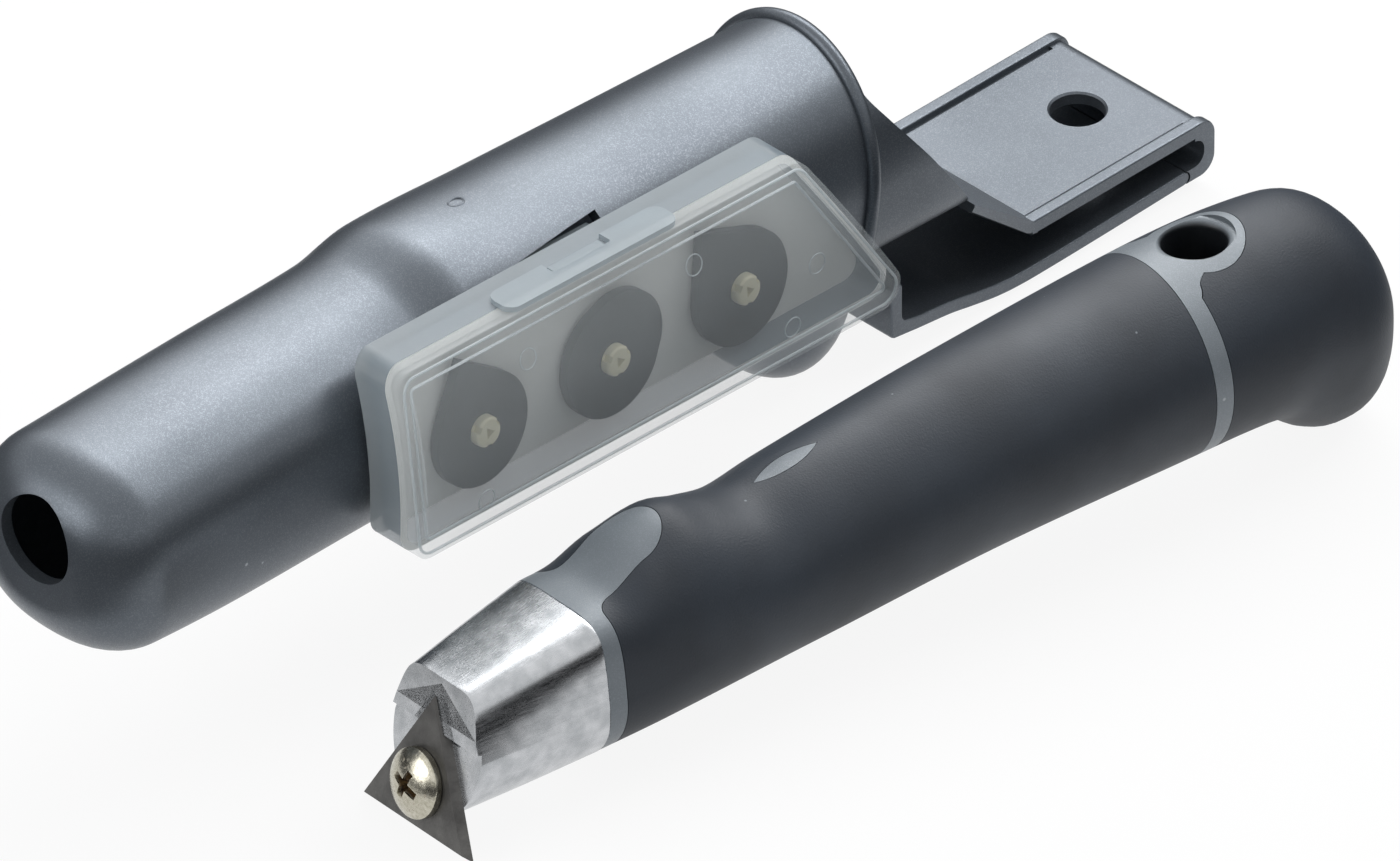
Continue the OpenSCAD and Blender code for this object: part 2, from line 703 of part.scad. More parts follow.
module case_body(front, back, inset) {
    intersection() {
        case_outline(inset);
        case_slice(front, back, case_low - past, case_low + case_h + past);
    }
}

post_z = -3.7;
post_x = 67.6;
post_len = case_d - 2 * case_t - 3.2;
post_back = case_line(case_d - case_t, post_z);
blade_plane_lean = 5;
case_top = case_low + case_h;
tab_x = 88;
tab_len = 34;
tab_deep = 5.2;
tab_t = 0.8;
window_len = 11.5;
window_w = 2.6;

// Tray of the case: back, side walls, blade posts, catch, and the lug that holds it in the tube's slot
module case_tray() {
    lug_w = slot_len - 4;
    lug_t = 1.2;
    lug_z = slot_z - case_drop;
    color("aliceblue") in_case() difference() {
        union() {
            difference() {
                case_body(lid_d + small_gap, case_d, 0);
                case_body(-past, case_d - case_t, case_t);
            }
            for (i = [0:2])
                translate([post_x + i * post_pitch, post_back + 0.3, post_z])
                    rotate([90 - blade_plane_lean, 0, 0]) cylinder(r = post_r, h = post_len + 0.3, $fn = 40);
            translate([slot_x - lug_w / 2, case_line(case_d - case_t / 2, slot_z), lug_z - lug_t / 2])
                cube([lug_w, 6.4, lug_t]);
            // catch in the tab's window
            translate([tab_x - window_len / 2 + 0.6, case_line(3.6, case_top), case_top - past])
                cube([window_len - 1.2, window_w - 1, past + 0.3]);
        }
        for (i = [0:2])
            translate([post_x + i * post_pitch, post_back + 0.3, post_z])
                rotate([90 - blade_plane_lean, 0, 0]) translate([-0.3, -post_r - past, post_len - 0.7])
                    cube([0.6, 2 * post_r + 2 * past, 2]);
    }
}

// Lid of the case, hinged along its lower edge, with a raised rim and a latch tab over the tray
module case_lid() {
    rim_w = 2.6;
    rim_h = 0.6;
    tab_front = case_line(0.4, case_top);
    tab_z = case_top - small_gap;
    color("aliceblue") in_case() union() {
        difference() {
            case_body(0, lid_d, 0);
            case_body(-past, rim_h, rim_w);
            case_body(rim_h + case_t, lid_d + past, case_t);
        }
        difference() {
            translate([0, 0, tab_z]) linear_extrude(height = tab_t + small_gap) polygon(rounded(
                [[tab_x - tab_len / 2, tab_front], [tab_x + tab_len / 2, tab_front],
                    [tab_x + tab_len / 2, tab_front + tab_deep],
                    [tab_x - tab_len / 2, tab_front + tab_deep]], 2));
            translate([tab_x - tab_len, case_line(lid_d, case_top), tab_z - past])
                cube([2 * tab_len, tab_deep, past + 2 * small_gap]);
            translate([tab_x - window_len / 2, case_line(3.2, case_top), tab_z - past])
                cube([window_len, window_w, 2 * past + tab_t]);
        }
    }
}

spare_hole_r = post_r + small_gap;
spare_gap = 0.4;

// Places a spare blade's flat outline on its post
module on_post(i) {
    color("dimgray") in_case() translate([post_x + i * post_pitch, post_back, post_z])
        rotate([90 - blade_plane_lean, 0, 0]) translate([0, 0, spare_gap]) linear_extrude(height = spare_t)
            difference() {
                children();
                circle(r = spare_hole_r, $fn = 40);
            }
}

// Round blade drawn out to a point at tip, by the two lines from the point that touch the circle
module drop_outline(r, tip) {
    far = norm(tip);
    toward = atan2(tip[1], tip[0]);
    touch = acos(r / far);
    polygon(concat([tip],
        [for (i = [0:30]) let (a = toward + touch + (360 - 2 * touch) * i / 30) r * [cos(a), sin(a)]]));
}

module spare_blade_drop() {
    on_post(0) drop_outline(spare_r - 0.3, spare_r * [-0.39, 1.4]);
}

module spare_blade_round() {
    on_post(1) union() {
        circle(r = spare_r, $fn = 64);
        translate([1.6, 1.6]) circle(r = spare_r - 0.9, $fn = 64);
    }
}

module spare_blade_corner() {
    on_post(2) drop_outline(spare_r - 0.2, spare_r * [-0.826, 1.326]);
}

handle_core();
grip_sleeve();
grip_heel();
tang();
tang_pin();
scraper_head();
blade();
blade_screw();
holster_shell();
belt_stop();
belt_plate();
belt_clip();
case_tray();
case_lid();
spare_blade_drop();
spare_blade_round();
spare_blade_corner();
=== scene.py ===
"""Looks of the hand scraper, its belt holster and its case of spare blades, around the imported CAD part."""
from math import acos, asin, atan, cos, degrees, pi, radians, sin, sqrt, tan

import bmesh
import bpy
import numpy as np
from mathutils import Matrix, Vector


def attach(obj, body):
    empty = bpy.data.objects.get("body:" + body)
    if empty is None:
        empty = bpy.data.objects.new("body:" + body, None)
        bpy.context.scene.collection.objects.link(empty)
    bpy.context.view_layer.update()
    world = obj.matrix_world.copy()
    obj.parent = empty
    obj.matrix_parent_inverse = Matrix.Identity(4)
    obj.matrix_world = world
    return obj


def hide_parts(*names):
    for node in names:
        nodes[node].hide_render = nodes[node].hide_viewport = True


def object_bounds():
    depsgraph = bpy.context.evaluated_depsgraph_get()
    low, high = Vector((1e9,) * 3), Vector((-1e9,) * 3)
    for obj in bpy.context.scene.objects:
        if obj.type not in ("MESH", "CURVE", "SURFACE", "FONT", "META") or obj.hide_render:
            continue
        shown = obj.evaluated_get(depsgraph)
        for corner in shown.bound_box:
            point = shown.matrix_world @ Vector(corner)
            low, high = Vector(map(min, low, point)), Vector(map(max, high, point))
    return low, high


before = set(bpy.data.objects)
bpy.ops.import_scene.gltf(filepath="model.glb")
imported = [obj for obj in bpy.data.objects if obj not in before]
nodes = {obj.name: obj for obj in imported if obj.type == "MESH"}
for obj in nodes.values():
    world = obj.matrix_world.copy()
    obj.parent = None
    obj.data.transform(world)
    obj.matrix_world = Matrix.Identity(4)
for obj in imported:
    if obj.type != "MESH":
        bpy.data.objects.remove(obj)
cad_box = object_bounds()
scene = bpy.context.scene
MM = 0.001

# Sizes repeated from the part's source, in millimetres
HANDLE_REACH, HEAD_REACH, COLLAR_LEN = 170.0, 24.0, 2.8
RUBBER_T, BAND_X, BAND_W = 2.0, 130.6, 3.0
HANG_X, HANG_R, RING_R = BAND_X + 9.1, 4.75, 7.3
BLADE_SIDE, BLADE_T, BLADE_LEAN = 25.0, 1.4, 14.6
SCREW_R, SCREW_HEAD_R, SCREW_HEAD_T, SCREW_LEN, DOME_R = 2.5, 5.2, 3.0, 4.0, 8.6
HOLSTER_LEN, MOUTH_X, WALL_END, SHELL_T = 221.5, 151.6, 171.0, 2.0
PLATE_W, PLATE_T, PLATE_TOP, PLATE_X = 31.4, 2.0, -31.0, 184.0
TONGUE_T, BELT_GAP, STOP_DEPTH = 2.3, 4.5, 41.6
CASE_X, CASE_LEN, CASE_SLANT, CASE_H, CASE_D, CASE_T, LID_D = 47.6, 101.2, 20.2, 30.2, 9.0, 1.2, 2.8
CASE_LOW, CASE_FRONT, BOW_R = -15.0, 27.3, 69.0
CASE_TOP = CASE_LOW + CASE_H
POST_X, POST_PITCH, POST_Z, POST_R, PLANE_LEAN = 67.6, 26.0, -3.7, 2.35, 5.0
SLOT_X, SLOT_LEN, SLOT_H, SLOT_Z, CASE_DROP = 91.6, 18.6, 2.4, 10.1, -1.65
STEP_X, STEP_LEN, TIP_R, TIP_HOLE_R = 64.0, 10.0, 10.0, 6.75

# Where the bodies lie at rest, in millimetres and degrees
HOLSTER_SPOT, SCRAPER_SPOT = (-110.75, 30.5371, 41.6), (-79.65, -16.2629, 7.94305)
SCRAPER_YAW, SCRAPER_ROLL, CASE_PITCH = -7.0, -4.5, 2.0


def tilt(angle, axis):
    return Matrix.Rotation(radians(angle), 4, axis)


def moved(x, y, z):
    return Matrix.Translation((x, y, z))


HOLSTER_AT = moved(*HOLSTER_SPOT)
SCRAPER_AT = moved(*SCRAPER_SPOT) @ tilt(SCRAPER_YAW, "Z") @ tilt(SCRAPER_ROLL, "X")
ON_BLADE = tilt(BLADE_LEAN, "Y")
BLADE_AT = SCRAPER_AT @ ON_BLADE
CASE_AT = HOLSTER_AT @ moved(SLOT_X, 0, CASE_DROP) @ tilt(CASE_PITCH, "Y") @ moved(-SLOT_X, 0, 0)
SIDEWAYS = Matrix(((1, 0, 0, 0), (0, 0, -1, 0), (0, 1, 0, 0), (0, 0, 0, 1)))
ALONG = Matrix(((0, 0, 1, 0), (1, 0, 0, 0), (0, 1, 0, 0), (0, 0, 0, 1)))
FACING_FRONT = Matrix(((0, 0, -1, 0), (1, 0, 0, 0), (0, 1, 0, 0), (0, 0, 0, 1)))


# Curves and rings, by the same rules as the part's source

def slope(points, i):
    a, b = points[max(0, i - 1)], points[min(len(points) - 1, i + 1)]
    return (b[1] - a[1]) / (b[0] - a[0])


def curve(points, x):
    """Value at x of the smooth curve through [x, value] points."""
    i = 0
    while i < len(points) - 2 and x >= points[i + 1][0]:
        i += 1
    (x0, y0), (x1, y1) = points[i], points[i + 1]
    h = x1 - x0
    t = (x - x0) / h
    b = 1 - t
    return ((1 + 2 * t) * b * b * y0 + t * b * b * h * slope(points, i)
            + t * t * (3 - 2 * t) * y1 - t * t * b * h * slope(points, i + 1))


def drawn_in(x, end, r):
    """How far an end with rounding radius r has drawn in at x."""
    return 0.0 if r <= 0 or x <= end - r else r - sqrt(max(0.0, r * r - (x - end + r) ** 2))


def ring(x, w, top, bottom, mid, full_top, full_bottom, taper=0.0, aside=0.0, sides=112):
    """One ring of a loft, with its own fullness in each half.

    Taper narrows the upper half, eased in from mid."""
    ease_in = 0.12
    a = np.arange(sides) * 2 * pi / sides
    up = np.sin(a) >= -1e-9
    f = 2 / np.where(up, full_top, full_bottom)
    s = np.sign(np.sin(a)) * np.abs(np.sin(a)) ** f
    c = np.sign(np.cos(a)) * np.abs(np.cos(a)) ** f
    rise = np.maximum(0, s)
    y = aside + w * (1 - taper * rise * rise / (rise + ease_in)) * c
    z = mid + np.where(up, top - mid, mid - bottom) * s
    return np.column_stack([np.full(sides, x), y, z])


def arc(x, y, r, start, end, steps):
    """Points on an arc about x, y, from start to end degrees."""
    return [(x + r * cos(radians(a)), y + r * sin(radians(a)))
            for a in np.linspace(start, end, steps)]


def circle(x, y, r, sides):
    return arc(x, y, r, 0, 360, sides + 1)[:-1]


def box_outline(x0, y0, x1, y1):
    return [(x0, y0), (x1, y0), (x1, y1), (x0, y1)]


def rounded(points, r, steps=8):
    """A convex outline with each corner rounded to radius r."""
    out = []
    n = len(points)
    for i in range(n):
        b = Vector(points[i])
        d = (Vector(points[i - 1]) - b).normalized()
        e = (Vector(points[(i + 1) % n]) - b).normalized()
        half = acos(max(-1, min(1, d.dot(e)))) / 2
        turn = pi - 2 * half
        o = b + r / sin(half) * (d + e).normalized()
        t = (b + d * r / tan(half) - o) / r
        q = (b + e * r / tan(half) - o) / r
        for k in range(steps + 1):
            m = (sin(turn * (1 - k / steps)) * t + sin(turn * k / steps) * q) / sin(turn)
            out.append(tuple(o + r * m))
    return out


def smooth_line(points, steps=6):
    """A flowing line through points, with steps between each pair."""
    p = [Vector(q) for q in points]
    p = [2 * p[0] - p[1]] + p + [2 * p[-1] - p[-2]]
    out = []
    for i in range(1, len(p) - 2):
        for k in range(steps):
            t = k / steps
            out.append(0.5 * (2 * p[i] + (p[i + 1] - p[i - 1]) * t
                              + (2 * p[i - 1] - 5 * p[i] + 4 * p[i + 1] - p[i + 2]) * t * t
                              + (3 * p[i] - p[i - 1] - 3 * p[i + 1] + p[i + 2]) * t ** 3))
    return [tuple(q) for q in out] + [tuple(p[-2])]


# Making, cutting and finishing pieces. Shapes are cut in millimetres and then placed in metres

def put_in_scene(name, data):
    thing = bpy.data.objects.new(name, data)
    scene.collection.objects.link(thing)
    return thing


def solid(name, points, faces, place=Matrix()):
    """A closed mesh from points and faces, moved to its place."""
    mesh = bpy.data.meshes.new(name)
    mesh.from_pydata([tuple(p) for p in points], [], faces)
    work = bmesh.new()
    work.from_mesh(mesh)
    bmesh.ops.remove_doubles(work, verts=work.verts, dist=1e-5)
    bmesh.ops.recalc_face_normals(work, faces=work.faces)
    work.to_mesh(mesh)
    work.free()
    mesh.transform(place)
    return put_in_scene(name, mesh)


def strips(first, n, rows):
    """The faces between closed rows of n points each, which begin at point first."""
    return [(a + k, a + n + k, a + n + (k + 1) % n, a + (k + 1) % n)
            for a in range(first, first + (rows - 1) * n, n) for k in range(n)]


def loft(name, rings, place=Matrix()):
    """A skin over rings of equal length, with a face on the first and on the last."""
    n, m = len(rings[0]), len(rings)
    faces = [list(range(n)), [m * n - 1 - k for k in range(n)]] + strips(0, n, m)
    return solid(name, np.vstack(rings), faces, place)


def prism(name, outline, low, high, place=Matrix()):
    """An outline in X and Y, drawn out along Z from low to high and then placed."""
    n = len(outline)
    points = [(x, y, z) for z in (low, high) for x, y in outline]
    faces = [list(range(n)), list(range(2 * n - 1, n - 1, -1))]
    faces += [(k, (k + 1) % n, n + (k + 1) % n, n + k) for k in range(n)]
    return solid(name, points, faces, place)


def block(low, high, place=Matrix()):
    return prism("block", box_outline(low[0], low[1], high[0], high[1]), low[2], high[2], place)


def turned(name, profile, place=Matrix(), sides=96):
    """A solid turned round Z from [radius, height] points, which start and end on the axis."""
    points = [(0, 0, profile[0][1]), (0, 0, profile[-1][1])]
    points += [(x, y, z) for r, z in profile[1:-1] for x, y in circle(0, 0, r, sides)]
    last = len(points) - sides
    faces = [(0, 2 + k, 2 + (k + 1) % sides) for k in range(sides)]
    faces += [(1, last + (k + 1) % sides, last + k) for k in range(sides)]
    return solid(name, points, faces + strips(2, sides, len(profile) - 2), place)


def rod(r, low, high, place=Matrix(), sides=96):
    return turned("rod", [(0, low), (r, low), (r, high), (0, high)], place, sides)


def settle(piece):
    """Turns what the modifiers show into the piece's plain mesh."""
    scene.view_layers[0].update()
    shown = piece.evaluated_get(bpy.context.evaluated_depsgraph_get())
    mesh = bpy.data.meshes.new_from_object(shown)
    old = piece.data
    piece.modifiers.clear()
    piece.data = mesh
    bpy.data.meshes.remove(old)
    return piece


def combine(base, how, tools):
    for tool in tools:
        cut = base.modifiers.new("cut", "BOOLEAN")
        cut.operation, cut.solver, cut.object = how, "MANIFOLD", tool
        settle(base)
        bpy.data.objects.remove(tool)
    return base


def cut_away(base, *tools):
    return combine(base, "DIFFERENCE", tools)


def add_to(base, *tools):
    return combine(base, "UNION", tools)


def common(base, *tools):
    return combine(base, "INTERSECT", tools)


def ease_edges(piece, width, angle):
    """Rounds the edges that turn by more than angle."""
    ease = piece.modifiers.new("ease", "BEVEL")
    ease.width, ease.segments, ease.limit_method = width, 2, "ANGLE"
    ease.angle_limit = radians(angle)
    return settle(piece)


SHARP_FROM = radians(32)


def finish_piece(piece, name, body, material, replaced=(), place=HOLSTER_AT):
    """Places a piece in metres, smooths its shading, names it, gives it its material, hangs it on its body
    and hides the parts it replaces.
    """
    piece.name = name
    piece.data.transform(Matrix.Scale(MM, 4) @ place)
    piece.data.polygons.foreach_set("use_smooth", [True] * len(piece.data.polygons))
    piece.data.set_sharp_from_angle(angle=SHARP_FROM)
    weigh = piece.modifiers.new("weigh", "WEIGHTED_NORMAL")
    weigh.keep_sharp = True
    settle(piece)
    piece.data.name = name
    piece.data.materials.clear()
    piece.data.materials.append(material)
    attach(piece, body)
    if replaced:
        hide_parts(*replaced)
    return piece


# Shader groups and materials

def srgb(r, g, b):
    """A colour as the photograph shows it, in the renderer's linear values."""
    def linear(c):
        return c / 255 / 12.92 if c <= 10 else ((c / 255 + 0.055) / 1.055) ** 2.4
    return linear(r), linear(g), linear(b), 1.0


class Web:
    """Adds and joins nodes in one tree."""

    def __init__(self, tree):
        self.tree = tree

    def add(self, kind, inputs=None, **settings):
        node = self.tree.nodes.new(kind)
        for key, value in settings.items():
            setattr(node, key, value)
        for key, value in (inputs or {}).items():
            if isinstance(value, bpy.types.NodeSocket):
                self.tree.links.new(value, node.inputs[key])
            else:
                node.inputs[key].default_value = value
        return node

    def math(self, operation, a, b=0.0):
        return self.add("ShaderNodeMath", {0: a, 1: b}, operation=operation).outputs[0]

    def noise(self, vector, scale, detail):
        inputs = {"Vector": vector, "Scale": scale, "Detail": detail}
        return self.add("ShaderNodeTexNoise", inputs).outputs["Fac"]

    def cells(self, vector, scale):
        """Distance into each cell, and the channels of its own random colour."""
        cells = self.add("ShaderNodeTexVoronoi", {"Vector": vector, "Scale": scale}).outputs
        spread = self.add("ShaderNodeSeparateColor", {"Color": cells["Color"]})
        return cells["Distance"], spread.outputs

    def squares(self, a, b):
        return self.math("ADD", self.math("MULTIPLY", a, a), self.math("MULTIPLY", b, b))

    def remap(self, value, low, high, out_low=0.0, out_high=1.0):
        return self.add("ShaderNodeMapRange", {"Value": value, "From Min": low, "From Max": high,
                                               "To Min": out_low, "To Max": out_high}).outputs[0]

    def blend(self, fac, a, b):
        return self.add("ShaderNodeMix", {0: fac, 6: a, 7: b}, data_type="RGBA").outputs[2]

    def feed(self, node, **sockets):
        """Joins other nodes' values to a node's sockets, which are named as in material_web."""
        for key, value in sockets.items():
            self.tree.links.new(value, node.inputs[socket_name(key)])


def socket_name(key):
    """The label of a socket from its name in lower case, as base_color for Base Color."""
    return key.replace("_", " ").title().replace("Ior", "IOR")


def shader_group(name, inputs, outputs):
    tree = bpy.data.node_groups.new(name, "ShaderNodeTree")
    for label, value in inputs:
        kind = "NodeSocketVector" if value is None else "NodeSocketFloat"
        socket = tree.interface.new_socket(label, in_out="INPUT", socket_type=kind)
        if value is not None:
            socket.default_value = value
    for label in outputs:
        tree.interface.new_socket(label, in_out="OUTPUT", socket_type="NodeSocketFloat")
    web = Web(tree)
    return tree, web, web.add("NodeGroupInput").outputs, web.add("NodeGroupOutput")


def make_moulded_grain():
    """Fine eroded grain of a mould, with cloudy tone and small bright flecks.

    Size is grains per unit length."""
    tree, web, given, result = shader_group(
        "moulded_grain", [("Vector", None), ("Size", 2500.0), ("Cloud", 40.0)], ["Height", "Tone", "Fleck"])
    fine = web.noise(given["Vector"], given["Size"], 3.0)
    distance, random = web.cells(given["Vector"], given["Size"])
    cloud = web.noise(given["Vector"], given["Cloud"], 4.0)
    web.feed(result, height=web.math("ADD", fine, web.math("MULTIPLY", distance, 0.3)), tone=cloud,
             fleck=web.remap(random[0], 0.6, 1.0))
    return tree


def make_dust():
    """Scattered pale specks. Size is cells per metre, and Amount the share of cells with a speck."""
    tree, web, given, result = shader_group(
        "dust", [("Vector", None), ("Size", 350.0), ("Amount", 0.06)], ["Mask"])
    distance, random = web.cells(given["Vector"], given["Size"])
    speck = web.remap(distance, 0.10, 0.05)
    some = web.math("LESS_THAN", random[1], given["Amount"])
    web.feed(result, mask=web.math("MULTIPLY", speck, some))
    return tree


def make_drag_lines():
    """Long fine lines that a belt or brush leaves along X, with broad shade.

    Size is lines per unit length."""
    tree, web, given, result = shader_group(
        "drag_lines", [("Vector", None), ("Size", 1500.0), ("Stretch", 0.05)], ["Height", "Shade"])
    squeeze = web.add("ShaderNodeCombineXYZ", {0: given["Stretch"], 1: 1.0, 2: 1.0})
    along = web.add("ShaderNodeVectorMath", {0: given["Vector"], 1: squeeze.outputs[0]}, operation="MULTIPLY")
    shade = web.noise(given["Vector"], web.math("MULTIPLY", given["Size"], 0.12), 5.0)
    web.feed(result, height=web.noise(along.outputs[0], given["Size"], 4.0), shade=shade)
    return tree


GRAIN, DUST, DRAG = make_moulded_grain(), make_dust(), make_drag_lines()


def material_web(name, **plain):
    """A material with its Principled shader, its plain socket values and a web over its tree."""
    material = bpy.data.materials.new(name)
    material.use_nodes = True
    web = Web(material.node_tree)
    shader = material.node_tree.nodes["Principled BSDF"]
    for key, value in plain.items():
        shader.inputs[socket_name(key)].default_value = value
    return material, web, shader


def placed_group(web, tree, vector, **values):
    """One of the shared groups, with its own values, put in a material."""
    node = web.add("ShaderNodeGroup", node_tree=tree)
    web.feed(node, vector=vector)
    for key, value in values.items():
        node.inputs[key].default_value = value
    return node.outputs


def object_spot(web):
    return web.add("ShaderNodeTexCoord").outputs["Object"]


def turned_spot(web, place):
    """Object coordinates turned back into a piece's own millimetre frame."""
    back = place.inverted()
    grown = web.add("ShaderNodeMapping", {
        "Vector": object_spot(web), "Scale": (1 / MM,) * 3, "Rotation": tuple(back.to_euler()),
        "Location": tuple(back.to_translation())})
    return grown.outputs[0]


def bump(web, shader, height, distance):
    web.feed(shader, normal=web.add("ShaderNodeBump", {"Height": height, "Distance": distance}).outputs[0])


def dusty(web, tone, spot, dust, size, amount, share):
    """A tone with specks of dust over it. Share is how much a speck hides."""
    specks = placed_group(web, DUST, spot, Size=size, Amount=amount)
    return web.blend(web.math("MULTIPLY", specks["Mask"], share), tone, dust)


def rubber(name, dark, light):
    """Soft matt rubber with a fine skin, faint rubbed clouds and dust."""
    material, web, shader = material_web(name, specular_ior_level=0.42)
    spot = object_spot(web)
    grain = placed_group(web, GRAIN, spot, Size=3200.0, Cloud=55.0)
    tone = web.blend(web.remap(grain["Tone"], 0.35, 0.7), dark, light)
    tone = dusty(web, tone, spot, srgb(150, 158, 165), size=420.0, amount=0.035, share=0.55)
    web.feed(shader, base_color=tone, roughness=web.remap(grain["Tone"], 0.3, 0.7, 0.56, 0.47))
    bump(web, shader, grain["Height"], distance=0.00004)
    return material


def metallic_plastic(name, dark, light, fleck, metal, rough, grain_depth, shaded_bore=None):
    """Grey plastic with metal flake in it, satin from the mould, and painted shade, near black, down the wall
    of a bored hole.
    """
    material, web, shader = material_web(name, metallic=metal, specular_ior_level=0.5)
    spot = object_spot(web)
    grain = placed_group(web, GRAIN, spot, Size=7500.0, Cloud=30.0)
    tone = web.blend(web.remap(grain["Tone"], 0.35, 0.68), dark, light)
    tone = web.blend(web.math("MULTIPLY", grain["Fleck"], 0.22), tone, fleck)
    if shaded_bore is not None:
        place, bore_x, bore_r = shaded_bore
        # Painted shade: near the hole's axis the tone turns near black, standing in for the shade deep inside
        # the hole.
        axes = web.add("ShaderNodeSeparateXYZ", {0: turned_spot(web, place)}).outputs
        away = web.squares(web.math("SUBTRACT", axes[0], bore_x), axes[1])
        wall = web.remap(away, (bore_r + 0.5) ** 2, (bore_r + 0.05) ** 2)
        tone = web.blend(wall, tone, srgb(24, 27, 31))
    tone = dusty(web, tone, spot, srgb(200, 205, 210), size=300.0, amount=0.02, share=0.5)
    web.feed(shader, base_color=tone, roughness=web.remap(grain["Fleck"], 0, 1, rough, rough - 0.08))
    bump(web, shader, grain["Height"], grain_depth)
    return material


def brushed_steel(name, dark, light, place, rough):
    """Hand-polished steel with drag lines along the piece and cloudy grime."""
    material, web, shader = material_web(name, metallic=1.0)
    lines = placed_group(web, DRAG, turned_spot(web, place), Size=3.2, Stretch=0.04)
    web.feed(shader, base_color=web.blend(web.remap(lines["Shade"], 0.35, 0.68), dark, light),
             roughness=web.remap(lines["Height"], 0.3, 0.7, *rough))
    bump(web, shader, lines["Height"], distance=0.0000007)
    return material


def ground_carbide(name, dark, light, place):
    """Dark ground blade metal, with fine grinding lines and rubbed spots."""
    material, web, shader = material_web(name, metallic=0.75)
    own = turned_spot(web, place)
    lines = placed_group(web, DRAG, own, Size=3.0, Stretch=0.3)
    grain = placed_group(web, GRAIN, own, Size=3.5, Cloud=0.25)
    web.feed(shader, base_color=web.blend(web.remap(grain["Tone"], 0.3, 0.7), dark, light),
             roughness=web.remap(lines["Height"], 0.3, 0.7, 0.36, 0.52))
    bump(web, shader, grain["Height"], distance=0.00002)
    return material


def grimy_nickel(name):
    """Nickel plate on the screw, worn yellowish, with brown grime below the dome of its head."""
    material, web, shader = material_web(name)
    own, grime_r = turned_spot(web, BLADE_AT), 4.0
    axes = web.add("ShaderNodeSeparateXYZ", {0: own}).outputs
    away = web.squares(axes[1], axes[2])
    dome = web.math("SQRT", web.math("MAXIMUM", web.math("SUBTRACT", DOME_R * DOME_R, away), 0.0))
    depth = web.math("ADD", web.math("ADD", axes[0], dome), BLADE_T + SCREW_HEAD_T - DOME_R)
    patchy = web.noise(own, 1.6, 5.0)
    ragged = web.math("MULTIPLY", web.math("SUBTRACT", patchy, 0.5), 1.6)
    deep = web.remap(web.math("ADD", depth, ragged), 0.1, 0.5)
    grime = web.math("MULTIPLY", deep, web.math("LESS_THAN", away, grime_r * grime_r))
    plate = web.blend(web.remap(patchy, 0.35, 0.7), srgb(172, 168, 152), srgb(204, 200, 186))
    brown = web.blend(web.remap(patchy, 0.4, 0.65), srgb(52, 36, 20), srgb(112, 88, 50))
    web.feed(shader, base_color=web.blend(grime, plate, brown), metallic=web.remap(grime, 0, 1, 1.0, 0.15),
             roughness=web.remap(grime, 0, 1, 0.26, 0.7))
    bump(web, shader, patchy, distance=0.00003)
    return material


def milky_plastic(name, colour, cover, rough=0.3, inside=None):
    """Milky clear plastic: cover is how much it hides, and inside is a pale tone for the faces to the front,
    painted light on the inner face of the tray's back wall, which the lid and walls shade.
    """
    material, web, shader = material_web(name, alpha=cover, specular_ior_level=0.5)
    spot = object_spot(web)
    grain = placed_group(web, GRAIN, spot, Size=1800.0, Cloud=45.0)
    pale = tuple(min(1, c * 1.22) for c in colour[:3]) + (1,)
    tone = web.blend(web.remap(grain["Tone"], 0.35, 0.7), colour, pale)
    if inside is not None:
        # Painted light: faces turned to the front get the pale inside tone and more cover, so the back wall
        # inside the tray reads as lit through the milky plastic.
        normal = web.add("ShaderNodeTexCoord").outputs["Normal"]
        to_back = web.add("ShaderNodeSeparateXYZ", {0: normal}).outputs[1]
        tone = web.blend(web.remap(to_back, -0.5, -0.9), tone, inside)
        web.feed(shader, alpha=web.remap(to_back, -0.5, -0.9, cover, 0.88))
    tone = dusty(web, tone, spot, srgb(235, 238, 240), size=260.0, amount=0.02, share=0.6)
    web.feed(shader, base_color=tone, roughness=web.remap(grain["Tone"], 0.3, 0.7, rough, rough + 0.12))
    bump(web, shader, grain["Height"], distance=0.00002)
    return material


SLEEVE_RUBBER = rubber("grip_rubber_dark", srgb(36, 42, 50), srgb(46, 53, 62))
# The last values give the hang hole, whose wall gets painted shade.
CORE_PLASTIC = metallic_plastic("grip_core_grey",
                                srgb(106, 113, 119), srgb(122, 129, 135), srgb(152, 159, 165),
                                0.15, 0.42, 0.00003, (SCRAPER_AT, HANG_X, HANG_R))
HEAD_STEEL = brushed_steel("head_polished_steel", srgb(172, 175, 178), srgb(198, 200, 203), SCRAPER_AT,
                           (0.22, 0.3))
TANG_STEEL = brushed_steel("tang_plain_steel", srgb(120, 120, 120), srgb(160, 160, 160), SCRAPER_AT,
                           (0.35, 0.5))
BLADE_METAL = ground_carbide("blade_ground_dark", srgb(76, 75, 74), srgb(108, 107, 105), BLADE_AT)
# Painted shade: the spare blades get a much darker, bluer copy of the blade metal, standing in for the shade
# inside the case.
SPARE_METAL_SHADED = ground_carbide("spare_blade_painted_shade", srgb(16, 22, 29), srgb(32, 39, 47), CASE_AT)
SCREW_NICKEL = grimy_nickel("screw_worn_nickel")
HOLSTER_PLASTIC = metallic_plastic("holster_satin_grey", srgb(84, 90, 97), srgb(98, 104, 111),
                                   srgb(146, 152, 158), 0.6, 0.36, 0.00002)
# The tray's last tone is painted light on the inner face of its back wall.
TRAY_PLASTIC = milky_plastic("case_milky_tray", srgb(132, 144, 152), 0.55, 0.34, srgb(238, 238, 234))
LID_PLASTIC = milky_plastic("case_milky_lid", srgb(222, 228, 230), 0.2)
TAB_PLASTIC = milky_plastic("case_milky_tab", srgb(150, 163, 170), 0.5)
RIM_PLASTIC = milky_plastic("case_milky_rim", srgb(206, 214, 218), 0.5)
POST_PLASTIC = milky_plastic("case_post_cream", srgb(228, 222, 190), 1.0)


# Geometry trees for what follows a path or repeats

